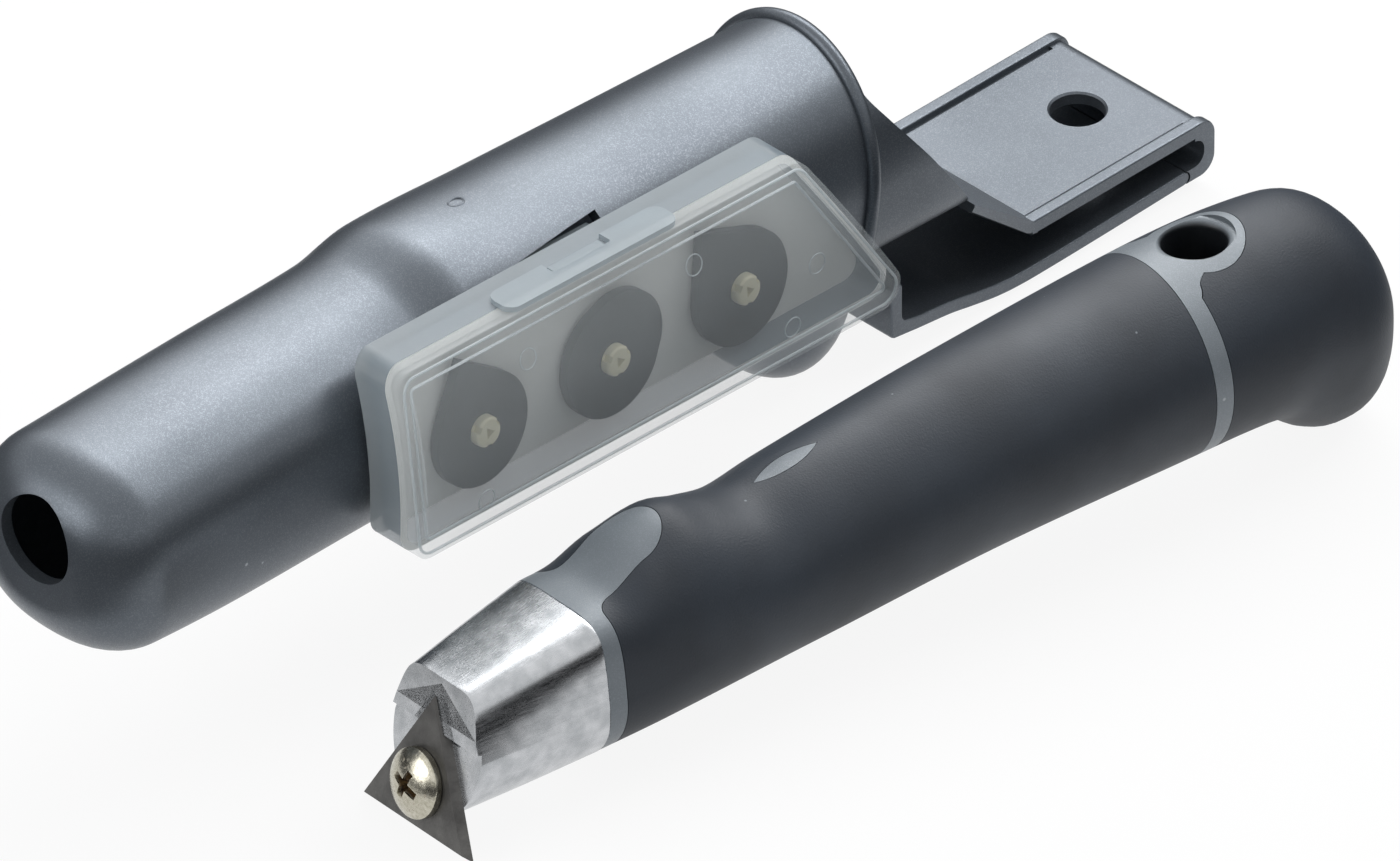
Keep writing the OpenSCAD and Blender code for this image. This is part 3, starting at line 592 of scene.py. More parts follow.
def geometry_tree(name, inputs):
    """A geometry tree with named inputs, the sockets that take their values, and its web."""
    tree = bpy.data.node_groups.new(name, "GeometryNodeTree")
    tree.interface.new_socket("Geometry", in_out="INPUT", socket_type="NodeSocketGeometry")
    sizes = {label: tree.interface.new_socket(label, in_out="INPUT", socket_type=kind)
             for label, kind in inputs}
    tree.interface.new_socket("Geometry", in_out="OUTPUT", socket_type="NodeSocketGeometry")
    web = Web(tree)
    return tree, sizes, web, web.add("NodeGroupInput").outputs


def painted_out(web, geometry, finish):
    """Makes copies real, gives them their material and passes them out of the tree."""
    real = web.add("GeometryNodeRealizeInstances", {"Geometry": geometry})
    painted = web.add("GeometryNodeSetMaterial", {"Geometry": real.outputs[0], "Material": finish})
    web.add("NodeGroupOutput", {"Geometry": painted.outputs[0]})


def bead_tree():
    """A round bead along each path of a wire mesh."""
    tree, sizes, web, given = geometry_tree("bead_along_path", (
        ("Radius", "NodeSocketFloat"), ("Sides", "NodeSocketInt"), ("Finish", "NodeSocketMaterial")))
    path = web.add("GeometryNodeMeshToCurve", {"Mesh": given["Geometry"]})
    section = web.add("GeometryNodeCurvePrimitiveCircle", {
        "Resolution": given["Sides"], "Radius": given["Radius"]})
    bead = web.add("GeometryNodeCurveToMesh", {
        "Curve": path.outputs[0], "Profile Curve": section.outputs[0], "Fill Caps": True})
    painted_out(web, bead.outputs[0], given["Finish"])
    return tree, sizes


def repeat_tree():
    """A copy of one piece at each point of a mesh."""
    tree, sizes, web, given = geometry_tree("piece_on_points", (
        ("Piece", "NodeSocketObject"), ("Turn", "NodeSocketVector"), ("Finish", "NodeSocketMaterial")))
    points = web.add("GeometryNodeMeshToPoints", {"Mesh": given["Geometry"]})
    shape = web.add("GeometryNodeObjectInfo", {"Object": given["Piece"]})
    turn = web.add("FunctionNodeEulerToRotation", {0: given["Turn"]})
    copies = web.add("GeometryNodeInstanceOnPoints", {
        "Points": points.outputs[0], "Instance": shape.outputs["Geometry"], "Rotation": turn.outputs[0]})
    painted_out(web, copies.outputs[0], given["Finish"])
    return tree, sizes


BEAD, BEAD_SIZES = bead_tree()
REPEAT, REPEAT_SIZES = repeat_tree()


def run_tree(piece, tree, sizes, **values):
    grow = piece.modifiers.new("grow", "NODES")
    grow.node_group = tree
    for label, value in values.items():
        grow[sizes[label].identifier] = value
    return settle(piece)


def wire(name, loops, closed=True):
    """A mesh of edges along each loop of points."""
    points, edges = [], []
    for loop in loops:
        first, n = len(points), len(loop)
        points += [tuple(p) for p in loop]
        edges += [(first + k, first + (k + 1) % n) for k in range(n if closed else n - 1)]
    mesh = bpy.data.meshes.new(name)
    mesh.from_pydata(points, edges, [])
    return put_in_scene(name, mesh)


def beads(name, loops, radius, material, sides):
    return run_tree(wire(name, loops), BEAD, BEAD_SIZES, Radius=radius, Sides=sides, Finish=material)


# Handle

THUMB_X, DIP_X, WAIST_X, SWELL_X, BACK_X, HEEL_X = 45.0, 57.0, 64.0, 95.0, 146.0, 159.0
PAD_HALF_W, PAD_FLARE, PAD_BACK = 5.5, 2.5, 3.0
INLAY_X, INLAY_LEN, INLAY_W = 65.5, 11.5, 3.1
HANG_LIP, HANG_TOP, HANG_LOW = 1.3, 30.9, -0.6
TANG_HOLE_R, TANG_DEPTH = 4.0, 62.0
GRIP_FRONT_R, GRIP_REAR_R, GRIP_FRONT_Z, GRIP_REAR_Z = 13.4, 15.7, 10.7, 15.0
THUMB_TOP, HEEL_TOP, HEEL_HALF_W, HEAD_HALF_W = 27.4, 30.6, 14.0, 11.5
HEAD_TOP_REAR, HEAD_LOW_REAR, HEAD_MID, HANDLE_ASIDE, HEAD_ASIDE = 20.2, -4.5, 7.0, -0.4, -0.8
END_SIDE_R, END_TOP_R, END_SOLE_R, HEEL_SOLE = 11.0, 15.0, 8.0, -7.943
HANDLE_WIDTH = [
    [HEAD_REACH, HEAD_HALF_W], [HEAD_REACH + 12, 12.6], [WAIST_X, GRIP_FRONT_R],
    [SWELL_X, (GRIP_FRONT_R + GRIP_REAR_R) / 2 - 0.2], [BAND_X, GRIP_REAR_R], [BACK_X, GRIP_REAR_R - 0.6],
    [HEEL_X, HEEL_HALF_W], [HANDLE_REACH, HEEL_HALF_W - 0.6]]
HANDLE_TOP = [
    [HEAD_REACH, HEAD_TOP_REAR], [HEAD_REACH + 6, HEAD_TOP_REAR + 1], [THUMB_X - 9, THUMB_TOP - 2.2],
    [THUMB_X - 2, THUMB_TOP], [THUMB_X + 4, THUMB_TOP - 1.6], [DIP_X, GRIP_FRONT_Z + GRIP_FRONT_R - 0.2],
    [WAIST_X + 2, GRIP_FRONT_Z + GRIP_FRONT_R + 1.1], [80, GRIP_FRONT_Z + GRIP_FRONT_R + 2.8],
    [SWELL_X, 28.4], [BAND_X, GRIP_REAR_Z + GRIP_REAR_R], [BACK_X, HEEL_TOP + 1], [HEEL_X, HEEL_TOP],
    [HANDLE_REACH, HEEL_TOP - 3]]
HANDLE_LOW = [
    [HEAD_REACH, HEAD_LOW_REAR], [WAIST_X, GRIP_FRONT_Z - GRIP_FRONT_R], [SWELL_X, -0.9],
    [BAND_X, GRIP_REAR_Z - GRIP_REAR_R], [142, -1.1], [149, HEEL_SOLE + 5.6], [154, HEEL_SOLE + 2],
    [HEEL_X, HEEL_SOLE], [HANDLE_REACH, HEEL_SOLE + 0.6]]
HANDLE_MID = [[HEAD_REACH, HEAD_MID], [WAIST_X, GRIP_FRONT_Z], [BAND_X, GRIP_REAR_Z], [HEEL_X, 12],
              [HANDLE_REACH, 11]]
HANDLE_FULL_TOP = [[HEAD_REACH, 5], [HEAD_REACH + 3, 4.2], [HEAD_REACH + 14, 2.2], [WAIST_X, 2],
                   [HANDLE_REACH, 2]]
HANDLE_TAPER = [[HEAD_REACH, 0.08], [HEAD_REACH + 14, 0.02], [WAIST_X, 0], [HANDLE_REACH, 0]]
HANDLE_FULL_LOW = [[HEAD_REACH, 2], [BAND_X, 2], [HEEL_X, 1.85], [HANDLE_REACH, 2]]
HANDLE_SHIFT = [[HEAD_REACH, HANDLE_ASIDE], [WAIST_X - 15, 0.3 * HANDLE_ASIDE], [WAIST_X, 0],
                [HANDLE_REACH, 0]]
SEAM = 0.12


def handle_ring(x, inset):
    end = HANDLE_REACH - inset
    return ring(x, curve(HANDLE_WIDTH, x) - inset - drawn_in(x, end, END_SIDE_R - inset),
                curve(HANDLE_TOP, x) - inset - drawn_in(x, end, END_TOP_R - inset),
                curve(HANDLE_LOW, x) + inset + drawn_in(x, end, END_SOLE_R - inset),
                curve(HANDLE_MID, x), curve(HANDLE_FULL_TOP, x), curve(HANDLE_FULL_LOW, x),
                curve(HANDLE_TAPER, x), curve(HANDLE_SHIFT, x))


def handle_skin(inset):
    end = HANDLE_REACH - inset
    straight = end - (END_TOP_R - inset)
    xs = list(np.linspace(HEAD_REACH, WAIST_X, 36)) + list(np.linspace(WAIST_X, straight, 72))[1:]
    xs += [straight + (END_TOP_R - inset) * sin(a) for a in np.linspace(0, pi / 2, 18)[1:]]
    return loft("skin", [handle_ring(x, inset) for x in xs])


def handle_slab(start, end):
    return block((start, -60, -60), (end, 60, 60))


def pad_prism(grow=0.0):
    """A prism over the bare thumb pad, flared where it meets the collar."""
    half, flare = PAD_HALF_W + grow, PAD_FLARE - grow
    start, end = HEAD_REACH + COLLAR_LEN + grow, THUMB_X - PAD_BACK - PAD_HALF_W
    near = [(start - 1, -half - flare)] + arc(start + flare, -half - flare, flare, 180, 90, 8)
    tip = arc(end, 0, half, -90, 90, 28)
    far = arc(start + flare, half + flare, flare, -90, -180, 8) + [(start - 1, half + flare)]
    return prism("pad", near + tip + far, HEAD_MID, HEAD_MID + 40)


def inlay_prism(grow=0.0):
    """A prism over the bare oval, from two arcs."""
    length, width = INLAY_LEN + 2 * grow, INLAY_W + 2 * grow
    r = (length * length / 4 + width * width / 4) / width
    half = degrees(asin(length / 2 / r))
    outline = arc(INLAY_X, width / 2 - r, r, 90 + half, 90 - half, 20)
    outline += arc(INLAY_X, r - width / 2, r, half - 90, -half - 90, 20)[1:-1]
    return prism("inlay", outline, GRIP_FRONT_Z, GRIP_FRONT_Z + 40)


def ring_prism(grow=0.0):
    """A prism over the ring round the hang hole, which flows out into the rear band."""
    start = BAND_X + BAND_W / 2
    side = [(start, 10.5 + grow), (start + 1.9 + grow, 8.8 + grow), (start + 2.7 + grow, 7.4),
            (start + 4.4, 6.3 + grow)]
    flow = smooth_line(side, 5)
    round_end = arc(HANG_X, 0, RING_R + grow, 118, -118, 60)
    return prism("ring", flow + round_end + [(x, -y) for x, y in reversed(flow)], -20, 60)


def hang_cutter():
    """The hang hole, with its rims rounded over."""
    wide = HANG_R + HANG_LIP
    profile = [(0, -40), (wide, -40)] + arc(wide, HANG_LOW + HANG_LIP, HANG_LIP, 270, 180, 8)
    profile += arc(wide, HANG_TOP - HANG_LIP, HANG_LIP, 180, 90, 8) + [(wide, 60), (0, 60)]
    return turned("hang_hole", profile, moved(HANG_X, 0, 0))


def tang_cutter():
    return rod(TANG_HOLE_R, HEAD_REACH - 1, HEAD_REACH + TANG_DEPTH, tilt(90, "Y") @ moved(-HEAD_MID, 0, 0))


def build_handle():
    core = handle_skin(RUBBER_T)
    for shape in (handle_slab(HEAD_REACH, HEAD_REACH + COLLAR_LEN), handle_slab(BAND_X, BAND_X + BAND_W),
                  pad_prism(), inlay_prism(), ring_prism()):
        add_to(core, common(handle_skin(0.0), shape))
    cut_away(core, hang_cutter(), tang_cutter())
    sleeve = common(handle_skin(0.0), handle_slab(HEAD_REACH + COLLAR_LEN + SEAM, BAND_X - SEAM))
    cut_away(sleeve, handle_skin(RUBBER_T), pad_prism(SEAM), inlay_prism(SEAM))
    heel = common(handle_skin(0.0), handle_slab(BAND_X + BAND_W + SEAM, HANDLE_REACH + 1))
    cut_away(heel, handle_skin(RUBBER_T), ring_prism(SEAM))
    finish_piece(core, "grip_core", "scraper", CORE_PLASTIC, ["handle_core"], SCRAPER_AT)
    finish_piece(sleeve, "rubber_sleeve", "scraper", SLEEVE_RUBBER, ["grip_sleeve"],
                 SCRAPER_AT)
    finish_piece(heel, "rubber_heel", "scraper", SLEEVE_RUBBER, ["grip_heel"], SCRAPER_AT)


# Head, screw and blade

HEAD_FRONT, LIP_PROUD, LIP_LOW = -6.0, 1.0, 8.6
CROSS_NEAR, CROSS_FAR, CROSS_DEEP, SCREW_TURN, SCREW_RIM = 2.7, 3.4, 1.75, 20.0, 0.35
NOTCH_TOP, NOTCH_HALF = BLADE_SIDE / sqrt(3) + 1.2, tan(radians(33.5))
HEAD_WIDTH = [[HEAD_FRONT, 9.8], [2, 10], [12, 10.8], [HEAD_REACH, HEAD_HALF_W - 0.1]]
HEAD_TOP = [[HEAD_FRONT, 14.2], [4, 16.4], [HEAD_REACH, HEAD_TOP_REAR - 0.15]]
HEAD_LOW = [[HEAD_FRONT, HEAD_LOW_REAR + 0.2], [8, HEAD_LOW_REAR + 0.2], [HEAD_REACH, HEAD_LOW_REAR + 0.15]]
HEAD_FULL = [[HEAD_FRONT, 7.5], [HEAD_REACH, 5.4]]
HEAD_TAPER = [[HEAD_FRONT, 0.3], [4, 0.28], [HEAD_REACH, 0.08]]
HEAD_SHIFT = [[HEAD_FRONT, HEAD_ASIDE], [4, HEAD_ASIDE], [HEAD_REACH, HANDLE_ASIDE]]


def build_head():
    head = loft("head", [ring(x, curve(HEAD_WIDTH, x), curve(HEAD_TOP, x), curve(HEAD_LOW, x), HEAD_MID,
                              curve(HEAD_FULL, x), 2.1, curve(HEAD_TAPER, x), curve(HEAD_SHIFT, x), 160)
                         for x in np.linspace(HEAD_FRONT, HEAD_REACH, 44)])
    wide = (NOTCH_TOP - LIP_LOW + 1) * NOTCH_HALF
    notch = [(HEAD_ASIDE, NOTCH_TOP), (HEAD_ASIDE - wide, LIP_LOW - 1), (HEAD_ASIDE + wide, LIP_LOW - 1)]
    cut_away(head, block((-40 - LIP_PROUD, -20, -40), (-LIP_PROUD, 20, 40), ON_BLADE),
             block((-40, -20, LIP_LOW - 80), (0, 20, LIP_LOW), ON_BLADE),
             prism("notch", notch, 0, 12, ON_BLADE @ FACING_FRONT),
             rod(SCREW_R + 0.05, -1, SCREW_LEN + 0.3, ON_BLADE @ tilt(90, "Y")))
    ease_edges(head, 0.15, 38)
    finish_piece(head, "steel_head", "scraper", HEAD_STEEL, ["scraper_head"], SCRAPER_AT)


def cross_arm(angle, reach):
    """One bar of the cross recess, which narrows and shortens towards its floor."""
    corners = ((-1, -1), (1, -1), (1, 1), (-1, 1))
    floor, top = (1.4, 0.45, 0.0), (reach, 0.7, 2.2)
    return loft("arm", [[(side_x * half, side_y * wide, z) for side_x, side_y in corners]
                        for half, wide, z in (floor, top)],
                moved(0, 0, SCREW_HEAD_T - CROSS_DEEP) @ tilt(angle, "Z"))


def build_screw():
    def dome(r):
        return SCREW_HEAD_T - DOME_R + sqrt(DOME_R * DOME_R - r * r)

    foot, edge = -SCREW_LEN - BLADE_T, SCREW_HEAD_R - SCREW_RIM
    profile = [(0, foot), (SCREW_R - 0.4, foot), (SCREW_R, foot + 0.4), (SCREW_R, 0.0),
               (SCREW_HEAD_R - 0.15, 0.0), (SCREW_HEAD_R, 0.15)]
    profile += arc(edge, dome(SCREW_HEAD_R) - 0.25, SCREW_RIM, 0, degrees(1.1), 6)
    profile += [(r, dome(r)) for r in np.linspace(edge - 0.05, 0.3, 16)] + [(0, SCREW_HEAD_T)]
    screw = turned("screw", profile)
    cut_away(screw, cross_arm(0, CROSS_NEAR), cross_arm(90, CROSS_FAR))
    ease_edges(screw, 0.1, 40)
    stand = moved(-BLADE_T, 0, 0) @ tilt(SCREW_TURN, "X") @ tilt(-90, "Y")
    finish_piece(screw, "head_screw", "screw", SCREW_NICKEL, ["blade_screw"], BLADE_AT @ stand)


# Holster

TUBE_FRONT_W, TUBE_REAR_W = 17.3, 18.0
TUBE_WIDTH = [[0, TUBE_FRONT_W], [STEP_X, TUBE_FRONT_W], [STEP_X + STEP_LEN, TUBE_REAR_W],
              [122, TUBE_REAR_W - 0.2], [MOUTH_X, TUBE_REAR_W - 0.6], [WALL_END, TUBE_REAR_W - 0.8]]
TUBE_TOP = [[0, 11], [16, 11.3], [41, 12], [STEP_X, 13], [STEP_X + STEP_LEN, 15.3], [96, 14.4], [122, 13.4],
            [MOUTH_X, 12.6], [WALL_END, 12.2]]
TUBE_LOW = [[0, -19.6], [STEP_X, -20.6], [MOUTH_X, -22], [WALL_END, -22]]
TUBE_MID = [[0, -4.6], [STEP_X, -4.6], [MOUTH_X, -8], [WALL_END, -9]]
TUBE_FULL_TOP = [[0, 2.55], [40, 2.55], [STEP_X + STEP_LEN, 2.3], [MOUTH_X, 2], [WALL_END, 2]]
TUBE_FULL_LOW = [[0, 2.3], [25, 2.9], [STEP_X, 2.9], [MOUTH_X, 4.2], [WALL_END, 5]]
WALL_LOW, MOUTH_LEAN = -20.0, tan(radians(7.4))
BEND_R = (PLATE_T + BELT_GAP + TONGUE_T) / 2
BEND_X = HOLSTER_LEN - BEND_R
TONGUE_TOP = PLATE_TOP - PLATE_T - BELT_GAP
KNUCKLE_X, KNUCKLE_Z, KNUCKLE_R = BEND_X - 2, TONGUE_TOP - TONGUE_T / 2, TONGUE_T / 2
HALF_PLATE = PLATE_W / 2
PLATE_LOW = PLATE_TOP - PLATE_T
RIDGE_H, RIDGE_W, GROOVE_W, GROOVE_D = 0.7, 2.0, 0.6, 0.4
PLATE_HOLE_X, PLATE_HOLE_R, PLATE_HOLE_LIP, MARK_X = BEND_X - 8, 4.1, 0.3, 84.5
STOP_X, STOP_HALF_LEN, STOP_HALF_W = MOUTH_X - 8, 11.5, 15.0


def tube_ring(x, inset, x_draw):
    draw = drawn_in(-x_draw, 0, TIP_R - inset)
    return ring(x, curve(TUBE_WIDTH, x) - inset - draw, curve(TUBE_TOP, x) - inset - draw * 0.9,
                curve(TUBE_LOW, x) + inset + draw * 0.9, curve(TUBE_MID, x),
                curve(TUBE_FULL_TOP, x), curve(TUBE_FULL_LOW, x), sides=144)


def tube_skin(inset, to):
    """The tube from its rounded tip to x, inside or outside of its wall."""
    r, step_end = TIP_R - inset, STEP_X + STEP_LEN
    tip = [tube_ring(inset + r * (1 - sin(a)), inset, r * (1 - sin(a)))
           for a in np.linspace(pi / 2, 0, 14)]
    xs = [x for start, end, count in ((TIP_R, STEP_X, 26), (STEP_X, step_end, 10), (step_end, to, 34))
          for x in np.linspace(start, end, count)[1:]]
    return loft("tube", tip + [tube_ring(x, inset, r) for x in xs])


def mouth_path(back, out):
    """The line round the tube's mouth, back from its rim and out from its wall."""
    path = []
    for k in range(144):
        x = MOUTH_X
        for _ in range(6):
            spot = tube_ring(x, -out, 2 * TIP_R)[k]
            x = MOUTH_X - back + spot[2] * MOUTH_LEAN
        path.append(spot)
    return path


def mouth_cutter():
    high = 40.0
    edge = smooth_line([(MOUTH_X + 12 * MOUTH_LEAN, 12), (MOUTH_X + 7 * MOUTH_LEAN, 7), (MOUTH_X + 4, 1.5),
                        (MOUTH_X + 10.5, -7.4), (WALL_END, WALL_LOW)], 8)
    outline = [(MOUTH_X + high * MOUTH_LEAN, high)] + edge + [(WALL_END + 1, WALL_LOW), (WALL_END + 1, high)]
    return prism("mouth", outline, -40, 40, SIDEWAYS)


def plate_outline():
    """Cross-section of the belt plate, with its ridges and grooves."""
    r, h = 0.35, HALF_PLATE
    inner, groove = h - RIDGE_W, h - RIDGE_W - GROOVE_W
    right = [(h - 0.5, PLATE_LOW), (h, PLATE_LOW + 0.5)]
    right += arc(h - r, PLATE_TOP + RIDGE_H - r, r, 0, 90, 5)
    right += arc(inner + r, PLATE_TOP + RIDGE_H - r, r, 90, 180, 5)
    right += [(inner, PLATE_TOP - GROOVE_D), (groove, PLATE_TOP - GROOVE_D), (groove, PLATE_TOP - 0.1),
              (groove - 0.1, PLATE_TOP)]
    return right + [(-x, z) for x, z in reversed(right)]


def build_stop():
    """The rounded stop under the mouth, cut off at the tube's wall."""
    rise = STOP_DEPTH + WALL_LOW
    rings = []
    for a in np.linspace(-84, 84, 30):
        s, c = sin(radians(a)), cos(radians(a)) ** 0.7
        rings.append(ring(STOP_HALF_LEN * s, STOP_HALF_W * c, 0.01, -rise * c, 0.0, 2, 2.8))
    stop = loft("stop", rings, moved(STOP_X, 0, WALL_LOW))
    return common(stop, block((0, -40, -60), (200, 40, WALL_LOW - SHELL_T / 2)))


def build_bend():
    """The bend, with the plate's ridges running round its end."""
    start, low = BEND_X - 12, TONGUE_TOP - TONGUE_T
    behind, inside = start - 9, HOLSTER_LEN - PLATE_T - 0.3

    def slab(end, top, r, from_y, to_y):
        return prism("slab", rounded(box_outline(start, low, end, top), r, 10), from_y, to_y, SIDEWAYS)

    bend = slab(HOLSTER_LEN - 0.5, PLATE_TOP, 2.4, -HALF_PLATE + 1, HALF_PLATE - 1)
    for side in (-1, 1):
        edge = sorted((side * HALF_PLATE, side * (HALF_PLATE - RIDGE_W)))
        add_to(bend, ease_edges(slab(HOLSTER_LEN, PLATE_TOP + RIDGE_H, 3.0, *edge), 0.35, 50))
    hollow = rounded(box_outline(behind, TONGUE_TOP, inside, PLATE_LOW), 0.45 * BELT_GAP, 10)
    knuckle, eye = moved(KNUCKLE_X, 0, KNUCKLE_Z), moved(HOLSTER_LEN - 3.2, 0, PLATE_TOP - 3.6)
    return cut_away(bend, prism("hollow", hollow, -40, 40, SIDEWAYS),
                    block((behind, -40, low - 1), (KNUCKLE_X, 40, PLATE_LOW)),
                    block((behind, -40, PLATE_LOW - 0.01), (HOLSTER_LEN - 4.2, 40, PLATE_TOP + 2)),
                    rod(KNUCKLE_R + 0.1, -40, 40, knuckle @ SIDEWAYS, 48),
                    rod(0.7, -40, 40, eye @ SIDEWAYS, 24))


def slope_end(x, top, low, half, corner):
    """Cross-section of the slope, with its lower corners rounded off."""
    right = [(half - corner, low), (half - 0.3 * corner, low + 0.3 * corner), (half, low + corner),
             (half, top)]
    return np.array([(x, y, z) for y, z in right + [(-y, z) for y, z in reversed(right)]])


def build_plate():
    """The slope down from the tube, the plate with its hole, and the bend behind it."""
    slope_down = loft("slope", [
        slope_end(WALL_END - 0.15, WALL_LOW, WALL_LOW - 2.0, 16.9, 1.6),
        slope_end(PLATE_X - 1, PLATE_TOP + 1.57, PLATE_LOW + 0.9, HALF_PLATE + 0.05, 0.7),
        slope_end(PLATE_X + 1, PLATE_TOP, PLATE_LOW, HALF_PLATE, 0.5)])
    plate = prism("plate", plate_outline(), PLATE_X, HOLSTER_LEN - 3.2, ALONG)
    add_to(plate, slope_down, build_bend())
    wide = PLATE_HOLE_R + PLATE_HOLE_LIP
    hole = [(0, -40), (PLATE_HOLE_R, -40), (PLATE_HOLE_R, PLATE_TOP - PLATE_HOLE_LIP),
            (wide, PLATE_TOP + 0.01), (wide, PLATE_TOP + 9), (0, PLATE_TOP + 9)]
    return cut_away(plate, turned("hole", hole, moved(PLATE_HOLE_X, 0, 0)))


def finish_moulded(piece, name, *replaced):
    return finish_piece(piece, name, "holster", HOLSTER_PLASTIC, replaced)


def build_holster():
    shell = cut_away(tube_skin(0.0, WALL_END), tube_skin(SHELL_T, WALL_END + 1), mouth_cutter(),
                     rod(TIP_HOLE_R, -1, TIP_R + 2, tilt(90, "Y")),
                     block((SLOT_X - SLOT_LEN / 2, -20, SLOT_Z - SLOT_H / 2),
                           (SLOT_X + SLOT_LEN / 2, -6, SLOT_Z + SLOT_H / 2)))
    finish_moulded(shell, "holster_tube", "holster_shell")
    finish_moulded(cut_away(build_stop(), tube_skin(0.0, WALL_END)), "stop_lobe", "belt_stop")
    finish_moulded(build_plate(), "plate_and_bend", "belt_plate")
    finish_moulded(beads("mouth_rim", [mouth_path(1.1, 0.05)], 1.1, HOLSTER_PLASTIC, 20), "mouth_rim")
    top = curve(TUBE_TOP, MARK_X) - 0.12
    mark = [(MARK_X + 1.3 * x, 0.9 * y + 1.2, top) for x, y in circle(0, 0, 1, 27)]
    finish_moulded(beads("gate_mark", [mark], 0.22, HOLSTER_PLASTIC, 8), "gate_mark")


HOOK_X, HOOK_TOP = STOP_X + STOP_HALF_LEN + TONGUE_T / 2 + 0.15, -27.7
TONGUE_RUN = KNUCKLE_X - HOOK_X
TONGUE_LINE = [(HOOK_X + t * TONGUE_RUN, KNUCKLE_Z + z) for t, z in (
    (1, 0), (0.743, -0.4), (0.555, -0.6), (0.436, -0.6), (0.351, -0.2), (0.266, 0.7), (0.189, 1.6),
    (0.078, 2.4))]


def build_clip():
    """The springy tongue, swept along its line from the knuckle to the foot of its hook."""
    line = [Vector(p) for p in smooth_line(TONGUE_LINE, 6)]
    half, foot = TONGUE_T / 2, KNUCKLE_Z + 1.9

    def side(way):
        out = []
        for i in range(1, len(line)):
            d = (line[min(len(line) - 1, i + 1)] - line[i - 1]).normalized()
            out.append(tuple(line[i] + way * half * Vector((-d[1], d[0]))))
        return out

    front, back = HOOK_X - half, HOOK_X + half
    hook = arc(front + 1, foot + 1, 1, 270, 180, 6) + arc(front + 0.6, HOOK_TOP - 0.6, 0.6, 180, 90, 5)
    hook += arc(back - 0.6, HOOK_TOP - 0.6, 0.6, 90, 0, 5)
    hook += arc(back + 1.2, foot + TONGUE_T + 1.1, 1.2, 180, 262, 6)
    root = arc(KNUCKLE_X, KNUCKLE_Z, KNUCKLE_R, 90, -90, 14)
    outline = side(1) + hook + side(-1)[::-1] + root
    clip = ease_edges(prism("clip", outline, -HALF_PLATE, HALF_PLATE, SIDEWAYS), 0.4, 50)
    finish_piece(clip, "clip_tongue", "clip", HOLSTER_PLASTIC, ["belt_clip"])


# Case of spare blades

BOW_Z = CASE_LOW + 7
LID_RIM_W, LID_RIM_H, POST_SHORT = 2.6, 0.6, 3.2
TAB_MID, TAB_LEN, TAB_D, WINDOW_LEN, WINDOW_D, CATCH_LEN = 88.0, 34.0, 5.2, 11.5, 2.6, 10.3
PIN_MARKS, PIN_MARK_R = [(72.8, 7.9), (106.0, 8.4), (63.3, -10.8), (129.4, -1.4), (124.5, -9.9)], 1.55


def case_line(depth, z):
    """Y of the bowed case at height z, and depth behind its front."""
    return -CASE_FRONT + depth + (0 if z < BOW_Z else BOW_R - sqrt(BOW_R ** 2 - (z - BOW_Z) ** 2))


def case_slice(front, back):
    zs = np.linspace(CASE_LOW - 1, CASE_TOP + 1, 40)
    outline = [(case_line(front, z), z) for z in zs] + [(case_line(back, z), z) for z in zs[::-1]]
    return prism("slice", outline, 0, 300, ALONG)


def case_corners(inset):
    lean = atan(CASE_SLANT / CASE_H)
    low, top, left = CASE_LOW + inset, CASE_TOP - inset, CASE_X + inset
    foot = CASE_X + CASE_LEN - inset / cos(lean)
    return rounded([(left + 1, low), (foot - inset * tan(lean), low),
                    (foot - (top - CASE_LOW) * tan(lean), top), (left, top)], 3.5 - inset, 12)


def case_body(front, back, inset):
    return common(prism("case", case_corners(inset), 0, 60, SIDEWAYS), case_slice(front, back))


def on_lid(path, depth):
    return [(x, case_line(depth, z), z) for x, z in path]


def finish_milky(piece, name, body, material, *replaced):
    return finish_piece(piece, name, body, material, replaced, CASE_AT)


def build_tray():
    tray = case_body(LID_D + 0.1, CASE_D, 0.0)
    cut_away(tray, case_body(-1, CASE_D - CASE_T, CASE_T))
    lug_y, lug_z = case_line(CASE_D - CASE_T / 2, SLOT_Z), SLOT_Z - CASE_DROP
    add_to(tray, block((SLOT_X - SLOT_LEN / 2 + 2, lug_y, lug_z - 1.0),
                       (SLOT_X + SLOT_LEN / 2 - 2, lug_y + 6.4, lug_z)))
    ease_edges(tray, 0.25, 50)
    finish_milky(tray, "tray_shell", "holster", TRAY_PLASTIC, "case_tray")


def build_lid():
    """The lid, with the fine lines along its rim."""
    lid = case_body(0.0, LID_D, 0.0)
    cut_away(lid, case_body(-1, LID_RIM_H, LID_RIM_W), case_body(LID_RIM_H + CASE_T, LID_D + 1, CASE_T))
    ease_edges(lid, 0.3, 50)
    finish_milky(lid, "lid_shell", "lid", LID_PLASTIC, "case_lid")
    lines = [on_lid(case_corners(0.9), 0.0), on_lid(case_corners(LID_RIM_W + 0.25), LID_RIM_H)]
    finish_milky(beads("lid_lines", lines, 0.22, RIM_PLASTIC, 8), "lid_lines", "lid", RIM_PLASTIC)


def build_latch():
    """The tab on the lid, with its window, and the tray's catch in the window."""
    def span(length, y0, y1):
        return box_outline(TAB_MID - length / 2, y0, TAB_MID + length / 2, y1)

    z, front = CASE_TOP, case_line(0.4, CASE_TOP)
    tab = prism("tab", rounded(span(TAB_LEN, front, front + TAB_D), 2, 8), z - 0.1, z + 0.8)
    near = case_line(3.2, z)
    cut_away(tab, prism("window", rounded(span(WINDOW_LEN, near, near + WINDOW_D), 0.4, 4), z - 2, z + 3))
    ease_edges(tab, 0.2, 50)
    finish_milky(tab, "latch_tab", "lid", TAB_PLASTIC)
    near = case_line(3.6, z)
    catch = ease_edges(prism("block", span(CATCH_LEN, near, near + 1.6), z - 1, z + 0.3), 0.2, 50)
    finish_milky(catch, "latch_catch", "holster", TAB_PLASTIC)


